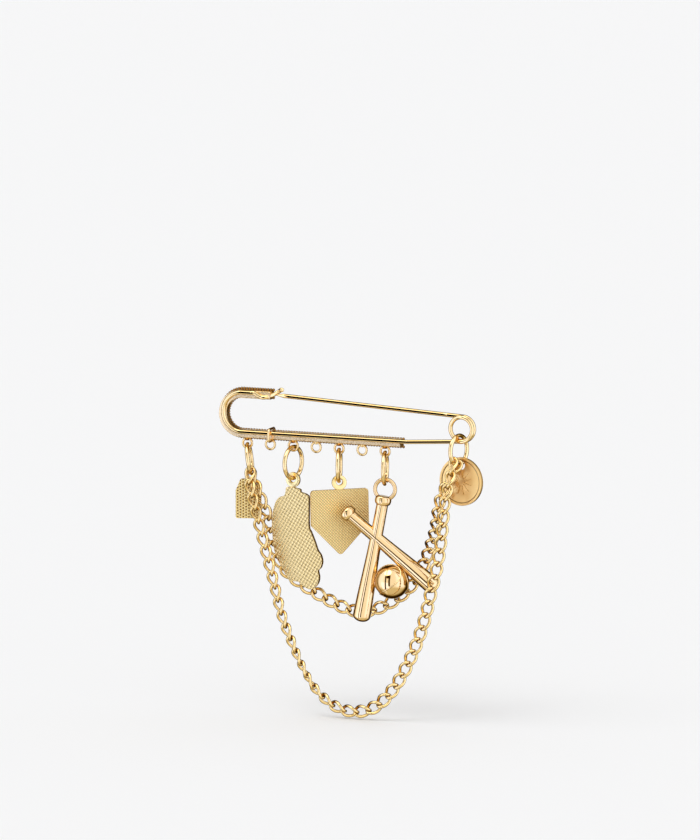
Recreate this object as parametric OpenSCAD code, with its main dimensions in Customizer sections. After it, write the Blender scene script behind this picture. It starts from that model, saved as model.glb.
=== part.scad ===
// Safety pin brooch with charms and two curb chains, in millimetres, hanging as it is worn.
// +X runs along the pin to its spring coil, +Z is up, and -Y faces the wearer.
// The origin is on the needle's axis, midway along the pin, where the cloth is pinned.

/* [Pin wire] */
// Diameter of the pin wire
wire_d = 1.1; // [0.9:0.05:1.2]
// Distance from the origin to the centre of the U bend
bend_x = 28.4; // [26:0.2:32]
// Centreline radius of the U bend
bend_r = 5.0; // [4.8:0.1:5.4]
// Distance from the origin to the axis of the spring coil
coil_x = 31.0; // [30:0.2:34]
// Centreline radius of the spring coil
coil_r = 3.05; // [2.9:0.05:3.4]
// Height of the coil's lowest wire above the bar
coil_rise = 0.85; // [0.5:0.05:1.2]
// Gap between neighbouring turns of the coil
turn_gap = 0.12; // [0.1:0.02:0.2]

/* [Needle] */
// Height of the needle's tip above the bar
tip_height = 9.55; // [9.3:0.05:9.8]
// Distance from the origin to the needle's tip
tip_x = 19.6; // [19.5:0.05:19.8]
// Length of the tapered point
taper_l = 2.2; // [1.6:0.1:3]
// Diameter at the very tip
tip_d = 0.3; // [0.2:0.05:0.4]
// Length of fixed wire between the coil's top and the needle's root
stub_l = 4.2; // [4:0.1:5]
// Clearance between the needle's round root and the stub
root_gap = 0.12; // [0.1:0.02:0.2]

/* [Strip] */
// Width of the ornamental strip across its face
strip_w = 2.0; // [1.8:0.1:2.2]
// Depth of the strip from back to front
strip_depth = 2.5; // [2.2:0.1:2.8]
// How far the strip's axis lies below the wire
strip_drop = 0.52; // [0.4:0.02:0.55]
// How far the strip's bend reaches past the wire's
strip_reach = 0.4; // [0.3:0.05:0.5]
// Depth that the wire is sunk into the strip's back
strip_sink = 0.2; // [0.15:0.05:0.3]
// Where the strip ends on the bar, from the origin
strip_end_x = 14.5; // [14:0.1:16]
// Where the strip ends above the bend, left of the origin
strip_top_x = 20.8; // [20.6:0.1:24]

/* [Loops] */
// Distance between neighbouring loops
loop_pitch = 6.24; // [6.1:0.02:6.4]
// Distance of the first loop from the origin
loop_x = 27.5; // [27:0.1:28]
// Wire diameter of a loop
loop_wire_d = 0.6; // [0.5:0.05:0.7]
// Outer width of a loop
loop_w = 3.05; // [2.9:0.05:3.2]
// How far a loop hangs below the strip
loop_l = 3.0; // [2.9:0.05:3.2]
// Depth of a loop's legs in the strip
loop_sink = 0.3; // [0.2:0.05:0.6]

/* [Bar ring] */
// Distance of the small ring on the bar from the middle of the second loop
bar_ring_in = 0.51; // [0:0.01:0.55]
// Wire diameter of the small ring
bar_ring_d = 0.6; // [0.5:0.05:0.7]
// Bend radius of the small ring's corners
bar_ring_bend = 0.9; // [0.7:0.05:0.95]
// Clearance between the small ring and what it goes round
bar_ring_gap = 0.25; // [0.25:0.01:0.3]

/* [Jump rings] */
// Wire diameter of the jump rings
ring_wire_d = 1.1; // [0.9:0.05:1.2]
// Outer diameter of the three rings that carry one charm
charm_ring_d = 9.0; // [8.6:0.1:9.4]
// Outer diameter of the two rings that carry the chains
chain_ring_d = 8.5; // [8.3:0.1:9]
// Width of the cut where a jump ring was closed
split_gap = 0.08; // [0.06:0.02:0.2]
// Clearance between parts that hang in each other
hang_gap = 0.1; // [0.1:0.02:0.2]
// Clearance between the two chain rings and what they carry
end_gap = 0.3; // [0.26:0.02:0.32]

/* [Charm plates] */
// Thickness of the flat charms
plate_t = 1.2; // [1:0.1:1.4]
// Outer diameter of the round tab that a charm hangs from
tab_d = 3.8; // [3.6:0.1:4]
// Diameter of the hole in the tab
tab_hole_d = 2.1; // [2:0.05:2.2]
// Width of the dimpled charm
dimpled_w = 6.5; // [6:0.1:7]
// Height of the dimpled charm
dimpled_h = 10.0; // [9:0.1:11]
// Radius of the dimpled charm's corners
dimpled_corner_r = 0.5; // [0.3:0.05:0.8]
// Width of the silhouette charm
silhouette_w = 14.4; // [13.6:0.1:14.8]
// Height of the silhouette charm below its tab
silhouette_h = 26.6; // [24:0.1:28]
// Width of the home plate charm
home_w = 14.8; // [14:0.1:15.4]
// Height of the home plate charm
home_h = 16.8; // [16:0.1:18]
// Height of the straight sides of the home plate charm
home_side = 9.0; // [7:0.1:10]
// Radius of the home plate charm's corners
home_corner_r = 0.9; // [0.5:0.1:1.2]

/* [Crossed bats] */
// Outer diameter of the ring on top
bat_ring_d = 6.1; // [5.8:0.1:6.4]
// Wire diameter of that ring
bat_ring_wire_d = 1.0; // [0.9:0.05:1.1]
// Length of a bat
bat_l = 32.5; // [31:0.1:33.5]
// Length of the crossing bat
cross_l = 30.4; // [29:0.1:31]
// Diameter of a bat's barrel
barrel_d = 4.5; // [4.2:0.1:4.8]
// Diameter of a bat's handle
handle_d = 3.0; // [2.8:0.1:3.2]
// Diameter of a bat's knob
knob_d = 4.2; // [3.8:0.1:4.6]
// Thickness of a bat's knob
knob_t = 2.2; // [1.8:0.1:2.6]
// Lean of the upright bat from the vertical
bat_lean = 10.5; // [8:0.5:13]
// Lean of the crossing bat from the vertical
cross_lean = 50.5; // [48:0.5:54]
// Distance from the upright bat's knob to the crossing
cross_at = 10.7; // [10:0.1:11.5]
// Distance from the crossing bat's knob to the crossing
cross_from = 10.4; // [9.6:0.1:11]
// Diameter of the ball
ball_d = 8.7; // [8.2:0.1:9.2]
// Diameter of the ball's raised seam
seam_d = 0.36; // [0.3:0.02:0.44]
// How far the ball is sunk into the bats
ball_sink = 0.25; // [0.15:0.05:0.4]

/* [Disc] */
// Diameter of the disc charm
disc_d = 12.2; // [11.5:0.1:13]
// Thickness of the disc at its rim
disc_t = 1.0; // [0.9:0.05:1.1]
// Width of the raised rim
rim_w = 0.55; // [0.4:0.05:0.8]
// Depth of the face inside the rim
rim_h = 0.18; // [0.12:0.01:0.25]
// Diameter of the hole in the disc
disc_hole_d = 2.4; // [2.3:0.05:2.5]
// Distance from the disc's edge to the middle of its hole
disc_hole_in = 1.95; // [1.8:0.05:2.2]
// Bevel of the disc's edge
disc_bevel = 0.15; // [0.05:0.05:0.2]
// Number of raised rays on the disc's face
ray_n = 12; // [8:1:16]
// Distance of a ray's foot from the disc's middle
ray_in = 1.0; // [0.8:0.1:1.4]
// Distance of a ray's point from the disc's middle
ray_out = 3.3; // [2.6:0.1:4]
// Width of a ray at its foot
ray_w = 0.44; // [0.3:0.02:0.5]
// Height of a ray above the face
ray_h = 0.11; // [0.08:0.01:0.2]

/* [Chains] */
// Wire diameter of the chain
link_wire_d = 0.62; // [0.56:0.02:0.64]
// Length of a link along its centreline
link_l = 4.28; // [4.22:0.02:4.34]
// Width of a link across its centreline
link_w = 2.72; // [2.6:0.02:2.8]
// Distance from one link to the next
link_pitch = 3.38; // [3.34:0.01:3.42]
// Twist of a link from end to end
link_twist = 96; // [88:1:104]

/* [Hidden] */
$fn = 64;
gold = [0.93, 0.73, 0.38];
pale_gold = [0.95, 0.8, 0.5];

wire_r = wire_d / 2;
turn_pitch = wire_d + turn_gap;

// Heights above the bar's axis, and the bar's own height below the needle
coil_top_h = coil_rise + 2 * coil_r;
needle_slope = (tip_height - coil_top_h) / (coil_x + tip_x);
bar_z = -(coil_top_h + needle_slope * coil_x);
// The needle lies in the plane y = 0, one and a half turns of the coil behind the bar
bar_y = -1.5 * turn_pitch;

// The needle's line, from the coil's top to its tip
coil_top = [coil_x, 0, bar_z + coil_top_h];
tip = [-tip_x, 0, bar_z + tip_height];
needle_dir = unit(tip - coil_top);
root = coil_top + needle_dir * stub_l;

// The strip's box in depth, and where its loops hang
strip_y0 = bar_y + wire_r - strip_sink;
strip_y1 = strip_y0 + strip_depth;
strip_z = bar_z - strip_drop;
loop_y = (strip_y0 + strip_y1) / 2;
loop_r = (loop_w - loop_wire_d) / 2;
loop_z = strip_z - strip_w / 2 - loop_l + loop_w / 2;
loop_floor = loop_z - loop_r + loop_wire_d / 2;
loop_n = 7;
function loop_at(i) = -loop_x + i * loop_pitch;

// Height of the wire's axis where a ring or tab hangs on a wire whose axis is at z
function hung(z, carrier_d, own_d) = z + carrier_d / 2 + own_d / 2 + hang_gap;

// Jump rings: [loop it hangs in, outer diameter, turn about the vertical, lean, angle of the cut]
charm_rings = [
    [2, charm_ring_d, -10, 0, 215],
    [4, charm_ring_d, 18, 0, 120],
    [6, charm_ring_d, 16, 0, 120]];
ring_top_z = loop_floor + ring_wire_d / 2 + hang_gap;
function ring_r(d) = (d - ring_wire_d) / 2;
function ring_foot_z(top_z, d) = top_z - 2 * ring_r(d);

module rod(a, b, d) {
    v = b - a;
    translate(a) rotate([0, acos(v.z / norm(v)), atan2(v.y, v.x)]) cylinder(d = d, h = norm(v));
}

function unit(v) = v / norm(v);

// Wire bent through points, with a round bend of its own radius at each inner point
module bent_wire(p, radius, d) {
    n = len(p);
    dir = [for (i = [0:n - 2]) unit(p[i + 1] - p[i])];
    turn = [for (i = [1:n - 2]) acos(dir[i - 1] * dir[i])];
    reach = [for (i = [0:n - 1]) i == 0 || i == n - 1 ? 0 : radius[i - 1] * tan(turn[i - 1] / 2)];
    for (i = [0:n - 2])
        if (norm(p[i + 1] - p[i]) - reach[i] - reach[i + 1] > 0.01)
            rod(p[i] + dir[i] * reach[i], p[i + 1] - dir[i] * reach[i + 1], d);
    for (i = [1:n - 2]) {
        axis = unit(cross(dir[i - 1], dir[i]));
        side = cross(axis, dir[i - 1]);
        centre = p[i] - dir[i - 1] * reach[i] + side * radius[i - 1];
        multmatrix([
            [-side.x, dir[i - 1].x, axis.x, centre.x],
            [-side.y, dir[i - 1].y, axis.y, centre.y],
            [-side.z, dir[i - 1].z, axis.z, centre.z],
            [0, 0, 0, 1]])
            rotate_extrude(angle = turn[i - 1]) translate([radius[i - 1], 0]) circle(d = d);
    }
}

// Length of meshed wire that lies inside the round wire at its end
wire_join = 0.4;
// The catch: the upper wire dips past the needle's tip, climbs its far side and ends over it.
// Its points lie these numbers of wire diameters from the tip: [x, y, z]
catch_bends = [[-3.27, -1.6, -0.45], [-1.73, -1.12, -0.38], [-0.68, 0.35, 0.13], [-0.02, 0.86, 0.56],
    [0.47, 0.91, 0.95], [0.86, 0.55, 1.2], [1.27, 0, 1.25]];
catch_l = 5.8;
catch_dip = 0.03;
upper_z = bar_z + 2 * bend_r;
catch_start = [tip.x - catch_l, bar_y, upper_z];
catch_path = concat([catch_start - [wire_join, 0, 0], catch_start + [wire_join, 0, -catch_dip]],
    [for (c = catch_bends) tip + wire_d * c]);
bend_left = -bend_x - bend_r;
bar_path = [
    catch_start,
    [bend_left, bar_y, upper_z],
    [bend_left, bar_y, bar_z],
    [strip_end_x + wire_d, bar_y, bar_z]];
bar_bends = [bend_r, bend_r];
// Past the strip the wire bends up a little and rises straight to the foot of the coil.
// Its points: [share of the run, share of the rise]
rise_shape = [[0.052, 0.012], [0.155, 0.106], [0.858, 0.906], [0.948, 0.988]];
rise_start = bar_path[len(bar_path) - 1];
coil_foot = [coil_x, bar_y, bar_z + coil_rise];
rise_path = concat([rise_start - [wire_join, 0, 0]],
    [for (s = rise_shape) rise_start + [s[0] * (coil_foot.x - rise_start.x), 0, s[1] * coil_rise]],
    [coil_foot + [wire_join / 2, 0, 0]]);
// Meshed wire is a hair thinner, so that it ends inside the round wire that it runs into
mesh_wire_gap = 0.012;
mesh_wire_d = wire_d - mesh_wire_gap;

// Half a turn of the coil from its foot (side = 1, by the right) or its head (side = -1, by the left)
module half_turn(y, side) {
    tilt = -side * asin(turn_pitch / 4 / coil_r);
    translate([coil_x, y + turn_pitch / 4, bar_z + coil_rise + coil_r])
        rotate([90 + tilt, 0, 0]) rotate([0, 0, side > 0 ? -90 : 90])
            rotate_extrude(angle = 180) translate([coil_r, 0]) circle(d = wire_d);
}

module pin_frame() {
    color(gold) {
        tube(open_curve(catch_path, 3), mesh_wire_d, 14);
        tube(open_curve(rise_path, 2), mesh_wire_d, 14);
        bent_wire(bar_path, bar_bends, wire_d);
        half_turn(bar_y, 1);
        half_turn(bar_y + turn_pitch / 2, -1);
        half_turn(bar_y + turn_pitch, 1);
        rod(coil_top, root - needle_dir * (wire_r + root_gap), wire_d);
        strip();
        for (i = [0:loop_n - 1]) loop(loop_at(i));
    }
}

// The strip follows the bar, the bend and the run back towards the catch
module strip() {
    outer_r = bend_r + strip_w / 2;
    inner_r = bend_r - strip_w / 2;
    left = -bend_x - strip_reach;
    translate([0, strip_y1, strip_z + bend_r]) rotate([90, 0, 0]) linear_extrude(strip_depth) {
        translate([left, -outer_r]) square([strip_end_x - left, strip_w]);
        translate([left, inner_r]) square([-strip_top_x - left, strip_w]);
        difference() {
            translate([left, 0]) circle(r = outer_r);
            translate([left, 0]) circle(r = inner_r);
            translate([left, -outer_r]) square(2 * outer_r);
        }
    }
}

module loop(x) {
    leg = strip_z - strip_w / 2 - loop_z + loop_sink;
    translate([x, loop_y, loop_z]) {
        rotate([90, 0, 0]) rotate([0, 0, 180]) rotate_extrude(angle = 180)
            translate([loop_r, 0]) circle(d = loop_wire_d);
        for (side = [-1, 1]) translate([side * loop_r, 0, 0]) cylinder(d = loop_wire_d, h = leg);
    }
}

module needle() {
    color(gold) {
        shoulder = tip - needle_dir * taper_l;
        translate(root) sphere(d = wire_d);
        rod(root, shoulder, wire_d);
        v = needle_dir;
        translate(shoulder) rotate([0, acos(v.z), atan2(v.y, v.x)])
            cylinder(d1 = wire_d, d2 = tip_d, h = taper_l);
    }
}

// The small ring is bent close round the wire and the strip behind it
bar_ring_turn = 3;
module bar_ring() {
    clear = bar_ring_gap + bar_ring_d / 2;
    y0 = bar_y - wire_r - clear;
    y1 = strip_y1 + clear;
    z0 = strip_z - strip_w / 2 - clear;
    z1 = bar_z + wire_r + clear;
    mid = [(y0 + y1) / 2, (z0 + z1) / 2];
    w = (y1 - y0) / 2;
    h = (z1 - z0) / 2;
    color(gold) translate([loop_at(1) + bar_ring_in, mid.x, mid.y]) rotate([0, 0, bar_ring_turn])
        tube_loop([for (p = rounded([[-w, h], [w, h], [w, -h], [-w, -h]], bar_ring_bend, 5))
            [0, p.x, p.y]], bar_ring_d, 10);
}

// Jump ring hanging from its top wire at the point top, in the plane across the bar
module jump_ring(top, d, turn, lean, cut) {
    color(gold) translate(top) rotate([0, lean, turn]) translate([0, 0, -ring_r(d)]) rotate([0, 90, 0])
        difference() {
            rotate_extrude() translate([ring_r(d), 0]) circle(d = ring_wire_d);
            rotate([0, 0, cut]) translate([0, -split_gap / 2, -ring_wire_d])
                cube([d, split_gap, 2 * ring_wire_d]);
        }
}

// A point on a ring's wire, swung by the angle a from its foot towards the viewer's far side
function on_ring(top, d, turn, lean, a) =
    let (r = ring_r(d), y = r * sin(a), z = -r - r * cos(a), x = z * sin(lean))
    top + [x * cos(turn) - y * sin(turn), x * sin(turn) + y * cos(turn), z * cos(lean)];

module charm_ring(i) {
    c = charm_rings[i];
    jump_ring([loop_at(c[0]), loop_y, ring_top_z], c[1], c[2], c[3], c[4]);
}

left_top = [loop_at(0), loop_y, ring_top_z];
left_turn = 17;
left_lean = -8;
left_cut = 100;
module chain_ring_left() { jump_ring(left_top, chain_ring_d, left_turn, left_lean, left_cut); }
module silhouette_ring() { charm_ring(0); }
module plate_ring() { charm_ring(1); }
module bats_ring() { charm_ring(2); }

// The right-hand ring hangs over the two wires at the foot of the coil
right_in = 0.7;
right_sag = ring_r(chain_ring_d) - wire_r - sqrt(pow(ring_r(chain_ring_d) - wire_r, 2) - pow(turn_pitch, 2));
right_top = [coil_x - right_in, bar_y + turn_pitch / 2,
    coil_foot.z + wire_r + ring_wire_d / 2 + hang_gap + right_sag];
right_turn = -11;
right_lean = 0;
right_cut = 160;
module chain_ring_right() { jump_ring(right_top, chain_ring_d, right_turn, right_lean, right_cut); }

// Angles from the foot of each end ring at which its charm, inner chain and outer chain hang
left_swing = [22, -8, -34];
right_swing = [19, -6, -40];
left_hung = [for (a = left_swing) on_ring(left_top, chain_ring_d, left_turn, left_lean, a)];
right_hung = [for (a = right_swing) on_ring(right_top, chain_ring_d, right_turn, right_lean, a)];

// Turn of each charm about the vertical
dimpled_turn = 17;
silhouette_turn = -3;
home_turn = 36;
home_lean = -1;
bats_turn = 12;
disc_turn = -8;

tab_r = (tab_d + tab_hole_d) / 4;
tab_wire_d = (tab_d - tab_hole_d) / 2;
// Height of a tab's middle when it hangs on a ring whose wire's axis is at z
function tab_z(z, gap) = z + ring_wire_d / 2 + gap - tab_hole_d / 2;

module tab() {
    rotate([90, 0, 0]) rotate_extrude() translate([tab_r, 0]) circle(d = tab_wire_d);
}

// Points round a tube's line at its i-th point, with the line running from a to b there and the
// first of them turned towards the vector up
function section(p, a, b, up, d, sides) =
    let (t = unit(b - a), u = unit(up - t * (t * up)), w = cross(t, u))
    [for (k = [0:sides - 1]) p + d / 2 * (cos(360 * k / sides) * u + sin(360 * k / sides) * w)];

// A tube along an open line, with flat ends; no part of the line runs along this direction
off_line = [0.3, 1, -0.6];
module tube(p, d, sides) {
    n = len(p);
    points = [for (i = [0:n - 1]) each section(p[i], p[max(i - 1, 0)], p[min(i + 1, n - 1)],
        off_line, d, sides)];
    sheath = [for (i = [0:n - 2], k = [0:sides - 1])
        let (a = i * sides + k, b = i * sides + (k + 1) % sides) each
            [[a, a + sides, b + sides], [a, b + sides, b]]];
    polyhedron(points, concat(sheath, [[for (k = [0:sides - 1]) k]],
        [[for (k = [sides - 1:-1:0]) (n - 1) * sides + k]]));
}

// A tube along a closed line that goes round the origin
module tube_loop(p, d, sides) {
    n = len(p);
    points = [for (i = [0:n - 1])
        let (a = p[(i + n - 1) % n], b = p[(i + 1) % n]) each section(p[i], a, b, p[i], d, sides)];
    polyhedron(points, [for (i = [0:n - 1], k = [0:sides - 1])
        let (a = i * sides + k, b = i * sides + (k + 1) % sides,
            c = ((i + 1) % n) * sides + (k + 1) % sides, e = ((i + 1) % n) * sides + k)
        each [[a, e, c], [a, c, b]]]);
}

// A flat outline in the plane y = 0, with its thickness centred on it
module plate(points) {
    translate([0, plate_t / 2, 0]) rotate([90, 0, 0]) linear_extrude(plate_t) polygon(points);
}

// Points on a smooth closed curve through the given points
function closed_curve(p, steps) = let (n = len(p)) [
    for (i = [0:n - 1], k = [0:steps - 1])
        let (a = p[(i + n - 1) % n], b = p[i], c = p[(i + 1) % n], d = p[(i + 2) % n], t = k / steps)
        0.5 * (2 * b + (c - a) * t + (2 * a - 5 * b + 4 * c - d) * t * t
            + (3 * b - a - 3 * c + d) * t * t * t)];

// A polygon whose corners are rounded to the radius r; the points run clockwise
function rounded(p, r, steps) = let (n = len(p)) [
    for (i = [0:n - 1])
        let (b = p[i], u = (p[(i + n - 1) % n] - b), v = (p[(i + 1) % n] - b),
            un = u / norm(u), vn = v / norm(v), half = acos(un * vn) / 2,
            c = b + (un + vn) / norm(un + vn) * r / sin(half),
            a0 = atan2(-un.x, un.y), turn = 180 - 2 * half)
        for (k = [0:steps]) let (a = a0 - turn * k / steps) c + r * [cos(a), sin(a)]];

// Shares of the dimpled charm's width and height: its shift to the left, the width of its top
// and the height of its sloping shoulders
dimpled_shift = 0.13;
dimpled_top = 0.62;
dimpled_shoulder = 0.3;
module dimpled_charm() {
    hung_at = left_hung[0];
    top = -tab_r - tab_wire_d / 4;
    w = dimpled_w / 2;
    shoulder = top - dimpled_shoulder * dimpled_h;
    mid = -dimpled_shift * dimpled_w;
    outline = [[mid - w, top - dimpled_h], [mid - w, shoulder], [mid - dimpled_top * w, top],
        [mid + dimpled_top * w, top], [mid + w, shoulder], [mid + w, top - dimpled_h]];
    color(pale_gold) translate([hung_at.x, hung_at.y, tab_z(hung_at.z, end_gap)])
        rotate([0, 0, dimpled_turn]) {
            tab();
            plate(rounded(outline, dimpled_corner_r, 5));
        }
}

// Shares of the silhouette charm's width and height, from the neck clockwise
silhouette = [
    [0.13, -0.028], [0.15, -0.056], [0.22, -0.065], [0.28, -0.081], [0.31, -0.116], [0.31, -0.371],
    [0.35, -0.428], [0.42, -0.513], [0.48, -0.598], [0.54, -0.64], [0.57, -0.705], [0.54, -0.764],
    [0.49, -0.794], [0.51, -0.852], [0.49, -0.911], [0.42, -0.956], [0.34, -0.977], [0.25, -0.962],
    [0.16, -0.935], [0.11, -0.911], [-0.05, -0.906], [-0.13, -0.857], [-0.22, -0.78],
    [-0.31, -0.696], [-0.36, -0.611], [-0.38, -0.537], [-0.4, -0.395], [-0.39, -0.284],
    [-0.36, -0.218], [-0.32, -0.158], [-0.25, -0.116], [-0.17, -0.102], [-0.14, -0.073],
    [-0.1, -0.014]];

module silhouette_charm() {
    x = charm_rings[0];
    z = tab_z(ring_foot_z(ring_top_z, x[1]), hang_gap);
    color(pale_gold) translate([loop_at(x[0]), loop_y, z]) rotate([0, 0, silhouette_turn]) {
        tab();
        translate([0, 0, -tab_r]) plate(closed_curve(
            [for (s = silhouette) [s[0] * silhouette_w, s[1] * silhouette_h]], 3));
    }
}

module home_plate_charm() {
    x = charm_rings[1];
    z = tab_z(ring_foot_z(ring_top_z, x[1]), hang_gap);
    w = home_w / 2;
    outline = [[-w, 0], [w, 0], [w, -home_side], [0, -home_h], [-w, -home_side]];
    color(pale_gold) translate([loop_at(x[0]), loop_y, z]) rotate([0, home_lean, home_turn]) {
        tab();
        translate([0, 0, -tab_r - tab_wire_d / 4]) plate(rounded(outline, home_corner_r, 6));
    }
}

// Half outline of a bat: [share of length, share of the barrel's radius beyond the handle's]
bat_shape = [[0.05, 0], [0.35, 0.08], [0.6, 0.45], [0.85, 0.92], [0.95, 1]];
// Height of a bat's rounded nose as a share of the barrel's radius
bat_nose = 0.7;
module bat(l) {
    barrel_r = barrel_d / 2;
    handle_r = handle_d / 2;
    knob = [for (a = [90:-15:-90]) [knob_d / 2 - knob_t / 4 + cos(a) * knob_t / 4,
        knob_t / 2 * sin(a) - knob_t / 2]];
    side = [for (s = bat_shape) [handle_r + s[1] * (barrel_r - handle_r), -s[0] * l]];
    nose = [for (a = [0:10:80]) [barrel_r * cos(a), -l + barrel_r * bat_nose * (1 - sin(a))]];
    rotate_extrude() polygon(concat([[0, 0]], knob, [[handle_r, -knob_t]], side, nose, [[0, -l]]));
}

// The seam of a ball, as a point on its surface; the waist says how near its two lobes come
seam_waist = 0.44;
seam_steps = 48;
function seam_at(t, r) = let (b = seam_waist, a = 1 - b) r * [
    a * cos(t) + b * cos(3 * t), a * sin(t) - b * sin(3 * t), 2 * sqrt(a * b) * sin(2 * t)];
ball_turn = [20, 35, 10];

// Distance from the crossing to the middle of the ball that rests between both bats
ball_reach = (ball_d / 2 + handle_d / 4 + barrel_d / 4 - ball_sink) / sin((bat_lean + cross_lean) / 2);
// Place of the upright bat's knob under its ring: to the left of the ring, and into its wire
knob_left = 0.3;
knob_sink = 1.35;

module crossed_bats_charm() {
    foot_z = ring_foot_z(ring_top_z, charm_rings[2][1]);
    top_z = hung(foot_z, ring_wire_d, bat_ring_wire_d);
    r = (bat_ring_d - bat_ring_wire_d) / 2;
    knob_at = [-knob_left, 0, -2 * r - bat_ring_wire_d / 2 + knob_sink];
    down = [-sin(bat_lean), 0, -cos(bat_lean)];
    over = [sin(cross_lean), 0, -cos(cross_lean)];
    crossing = knob_at + down * cross_at;
    color(gold) translate([loop_at(charm_rings[2][0]), loop_y, top_z]) rotate([0, 0, bats_turn]) {
        translate([0, 0, -r]) rotate([90, 0, 0]) rotate_extrude() translate([r, 0])
            circle(d = bat_ring_wire_d);
        translate(knob_at) rotate([0, bat_lean, 0]) bat(bat_l);
        translate(crossing - over * cross_from) rotate([0, -cross_lean, 0]) bat(cross_l);
        translate(crossing + ball_reach * (down + over) / norm(down + over)) rotate(ball_turn) {
            sphere(d = ball_d);
            tube_loop([for (i = [0:seam_steps - 1]) seam_at(i * 360 / seam_steps, ball_d / 2)], seam_d, 5);
        }
    }
}

module disc_charm() {
    hung_at = right_hung[0];
    z = hung_at.z + ring_wire_d / 2 + end_gap - disc_hole_d / 2;
    edge = disc_d / 2;
    face_r = edge - rim_w;
    half = disc_t / 2;
    side = [[0, half - rim_h], [face_r - rim_h, half - rim_h], [face_r, half], [edge - disc_bevel, half],
        [edge, half - disc_bevel]];
    profile = concat([for (p = side) [p.x, -p.y]], [for (i = [len(side) - 1:-1:0]) side[i]]);
    ray = [[ray_in, -ray_w / 2], [ray_out, 0], [ray_in, ray_w / 2]];
    color(gold) translate([hung_at.x, hung_at.y, z]) rotate([0, 0, disc_turn]) difference() {
        translate([0, 0, disc_hole_in - edge]) rotate([-90, 0, 0]) {
            rotate_extrude() polygon(profile);
            for (i = [0:ray_n - 1]) rotate([0, 0, (i + 0.5) * 360 / ray_n])
                translate([0, 0, rim_h - ray_h - half]) linear_extrude(half) polygon(ray);
        }
        translate([0, disc_t, 0]) rotate([90, 0, 0]) cylinder(d = disc_hole_d, h = 2 * disc_t);
    }
}

// Points of each chain's line between its two rings
outer_route = [
    [-26.0, -2.8, -20.6], [-24.4, -2.9, -27.3], [-22.7, -2.4, -34.2], [-20.7, -2.5, -41.2],
    [-19.1, -2.6, -47.0], [-17.2, -2.8, -53.9], [-14.5, -3.0, -60.4], [-11.2, -3.2, -67.0],
    [-6.9, -3.4, -73.1], [-0.3, -3.5, -77.1], [7.5, -3.6, -76.5], [13.1, -3.7, -71.7],
    [16.9, -3.8, -65.7], [20.0, -3.9, -59.2], [22.4, -4.0, -52.4], [23.9, -4.1, -46.2],
    [25.3, -4.1, -40.9], [26.2, -3.9, -35.7], [27.2, -4.4, -29.3], [28.2, -5.1, -22.6],
    [29.2, -4.9, -17.6]];
inner_route = [
    [-24.5, -1.4, -22.6], [-23.0, -0.9, -26.5], [-22.5, 0.8, -30.0], [-22.3, 1.8, -33.6],
    [-21.3, 2.3, -38.5], [-18.8, 2.6, -43.4], [-14.1, 2.9, -46.8], [-9.0, 3.3, -49.6],
    [-3.0, 3.8, -52.4], [1.8, 4.3, -53.3], [6.4, 4.9, -52.0], [10.9, 5.6, -49.4], [15.5, 5.6, -45.0],
    [19.3, 4.3, -38.4], [21.6, 2.4, -33.9], [23.5, 0.4, -30.1], [24.8, -1.6, -25.6],
    [26.4, -2.3, -20.6]];
// Roll of the chains about their own line: [share of the length, angle]
outer_roll = [[0, 25], [0.15, 18], [0.3, 38], [0.38, 62], [0.46, 28], [0.52, 5], [0.7, 10], [0.88, 0],
    [1, -48]];
inner_roll = [[0, 25], [0.12, 8], [0.3, 0], [0.6, 0], [0.75, 10], [0.84, 0], [1, -48]];

// Points on a smooth open curve through the given points
function open_curve(p, steps) = let (n = len(p)) concat([
    for (i = [0:n - 2], k = [0:steps - 1])
        let (a = p[max(i - 1, 0)], b = p[i], c = p[i + 1], d = p[min(i + 2, n - 1)], t = k / steps)
        0.5 * (2 * b + (c - a) * t + (2 * a - 5 * b + 4 * c - d) * t * t
            + (3 * b - a - 3 * c + d) * t * t * t)], [p[n - 1]]);
// Length along a line up to each of its points
function lengths(p) = [for (i = 0, s = 0; i < len(p);
    s = s + (i + 1 < len(p) ? norm(p[i + 1] - p[i]) : 0), i = i + 1) s];
// The point at the length s along a line
function along(p, at, s) = [for (k = [0:2]) lookup(s, [for (i = [0:len(p) - 1]) [at[i], p[i][k]]])];

// The line of a curb link: an oval twisted about its length
function link_line(n) = [for (i = [0:n - 1])
    let (a = 360 * i / n, x = link_l / 2 * cos(a), r = link_w / 2 * sin(a),
        turn = link_twist / 2 * x / (link_l / 2))
    [x, r * cos(turn), r * sin(turn)]];

// One link from joint a to joint b, rolled about that line
module curb_link(a, b, roll) {
    t = unit(b - a);
    n1 = unit([0, 1, 0] - t * t.y);
    s1 = cross(n1, t);
    s = s1 * cos(roll) + n1 * sin(roll);
    n = n1 * cos(roll) - s1 * sin(roll);
    c = (a + b) / 2;
    multmatrix([[t.x, s.x, n.x, c.x], [t.y, s.y, n.y, c.y], [t.z, s.z, n.z, c.z], [0, 0, 0, 1]])
        tube_loop(link_line(12), link_wire_d, 6);
}

// A chain from one ring's wire to the other's, its links spread evenly along the line. The
// line is drawn past both wires, because the end links reach round them.
overrun = 1.5;
line_steps = 8;
module chain(start, route, end, rolls) {
    path = open_curve(concat([start + overrun * unit(start - route[0]), start], route,
        [end, end + overrun * unit(end - route[len(route) - 1])]), line_steps);
    at = lengths(path);
    // From a ring's wire to the nearest joint, which lies on its far side
    first = (link_l - ring_wire_d - link_wire_d) / 2 - end_gap - link_pitch / 2;
    from = at[line_steps] + first;
    run = at[len(at) - 1 - line_steps] - first - from;
    count = round(run / link_pitch);
    for (i = [0:count - 1])
        curb_link(along(path, at, from + i * run / count), along(path, at, from + (i + 1) * run / count),
            lookup((i + 0.5) / count, rolls));
}

module outer_chain() { color(gold) chain(left_hung[2], outer_route, right_hung[2], outer_roll); }
module inner_chain() { color(gold) chain(left_hung[1], inner_route, right_hung[1], inner_roll); }

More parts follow.
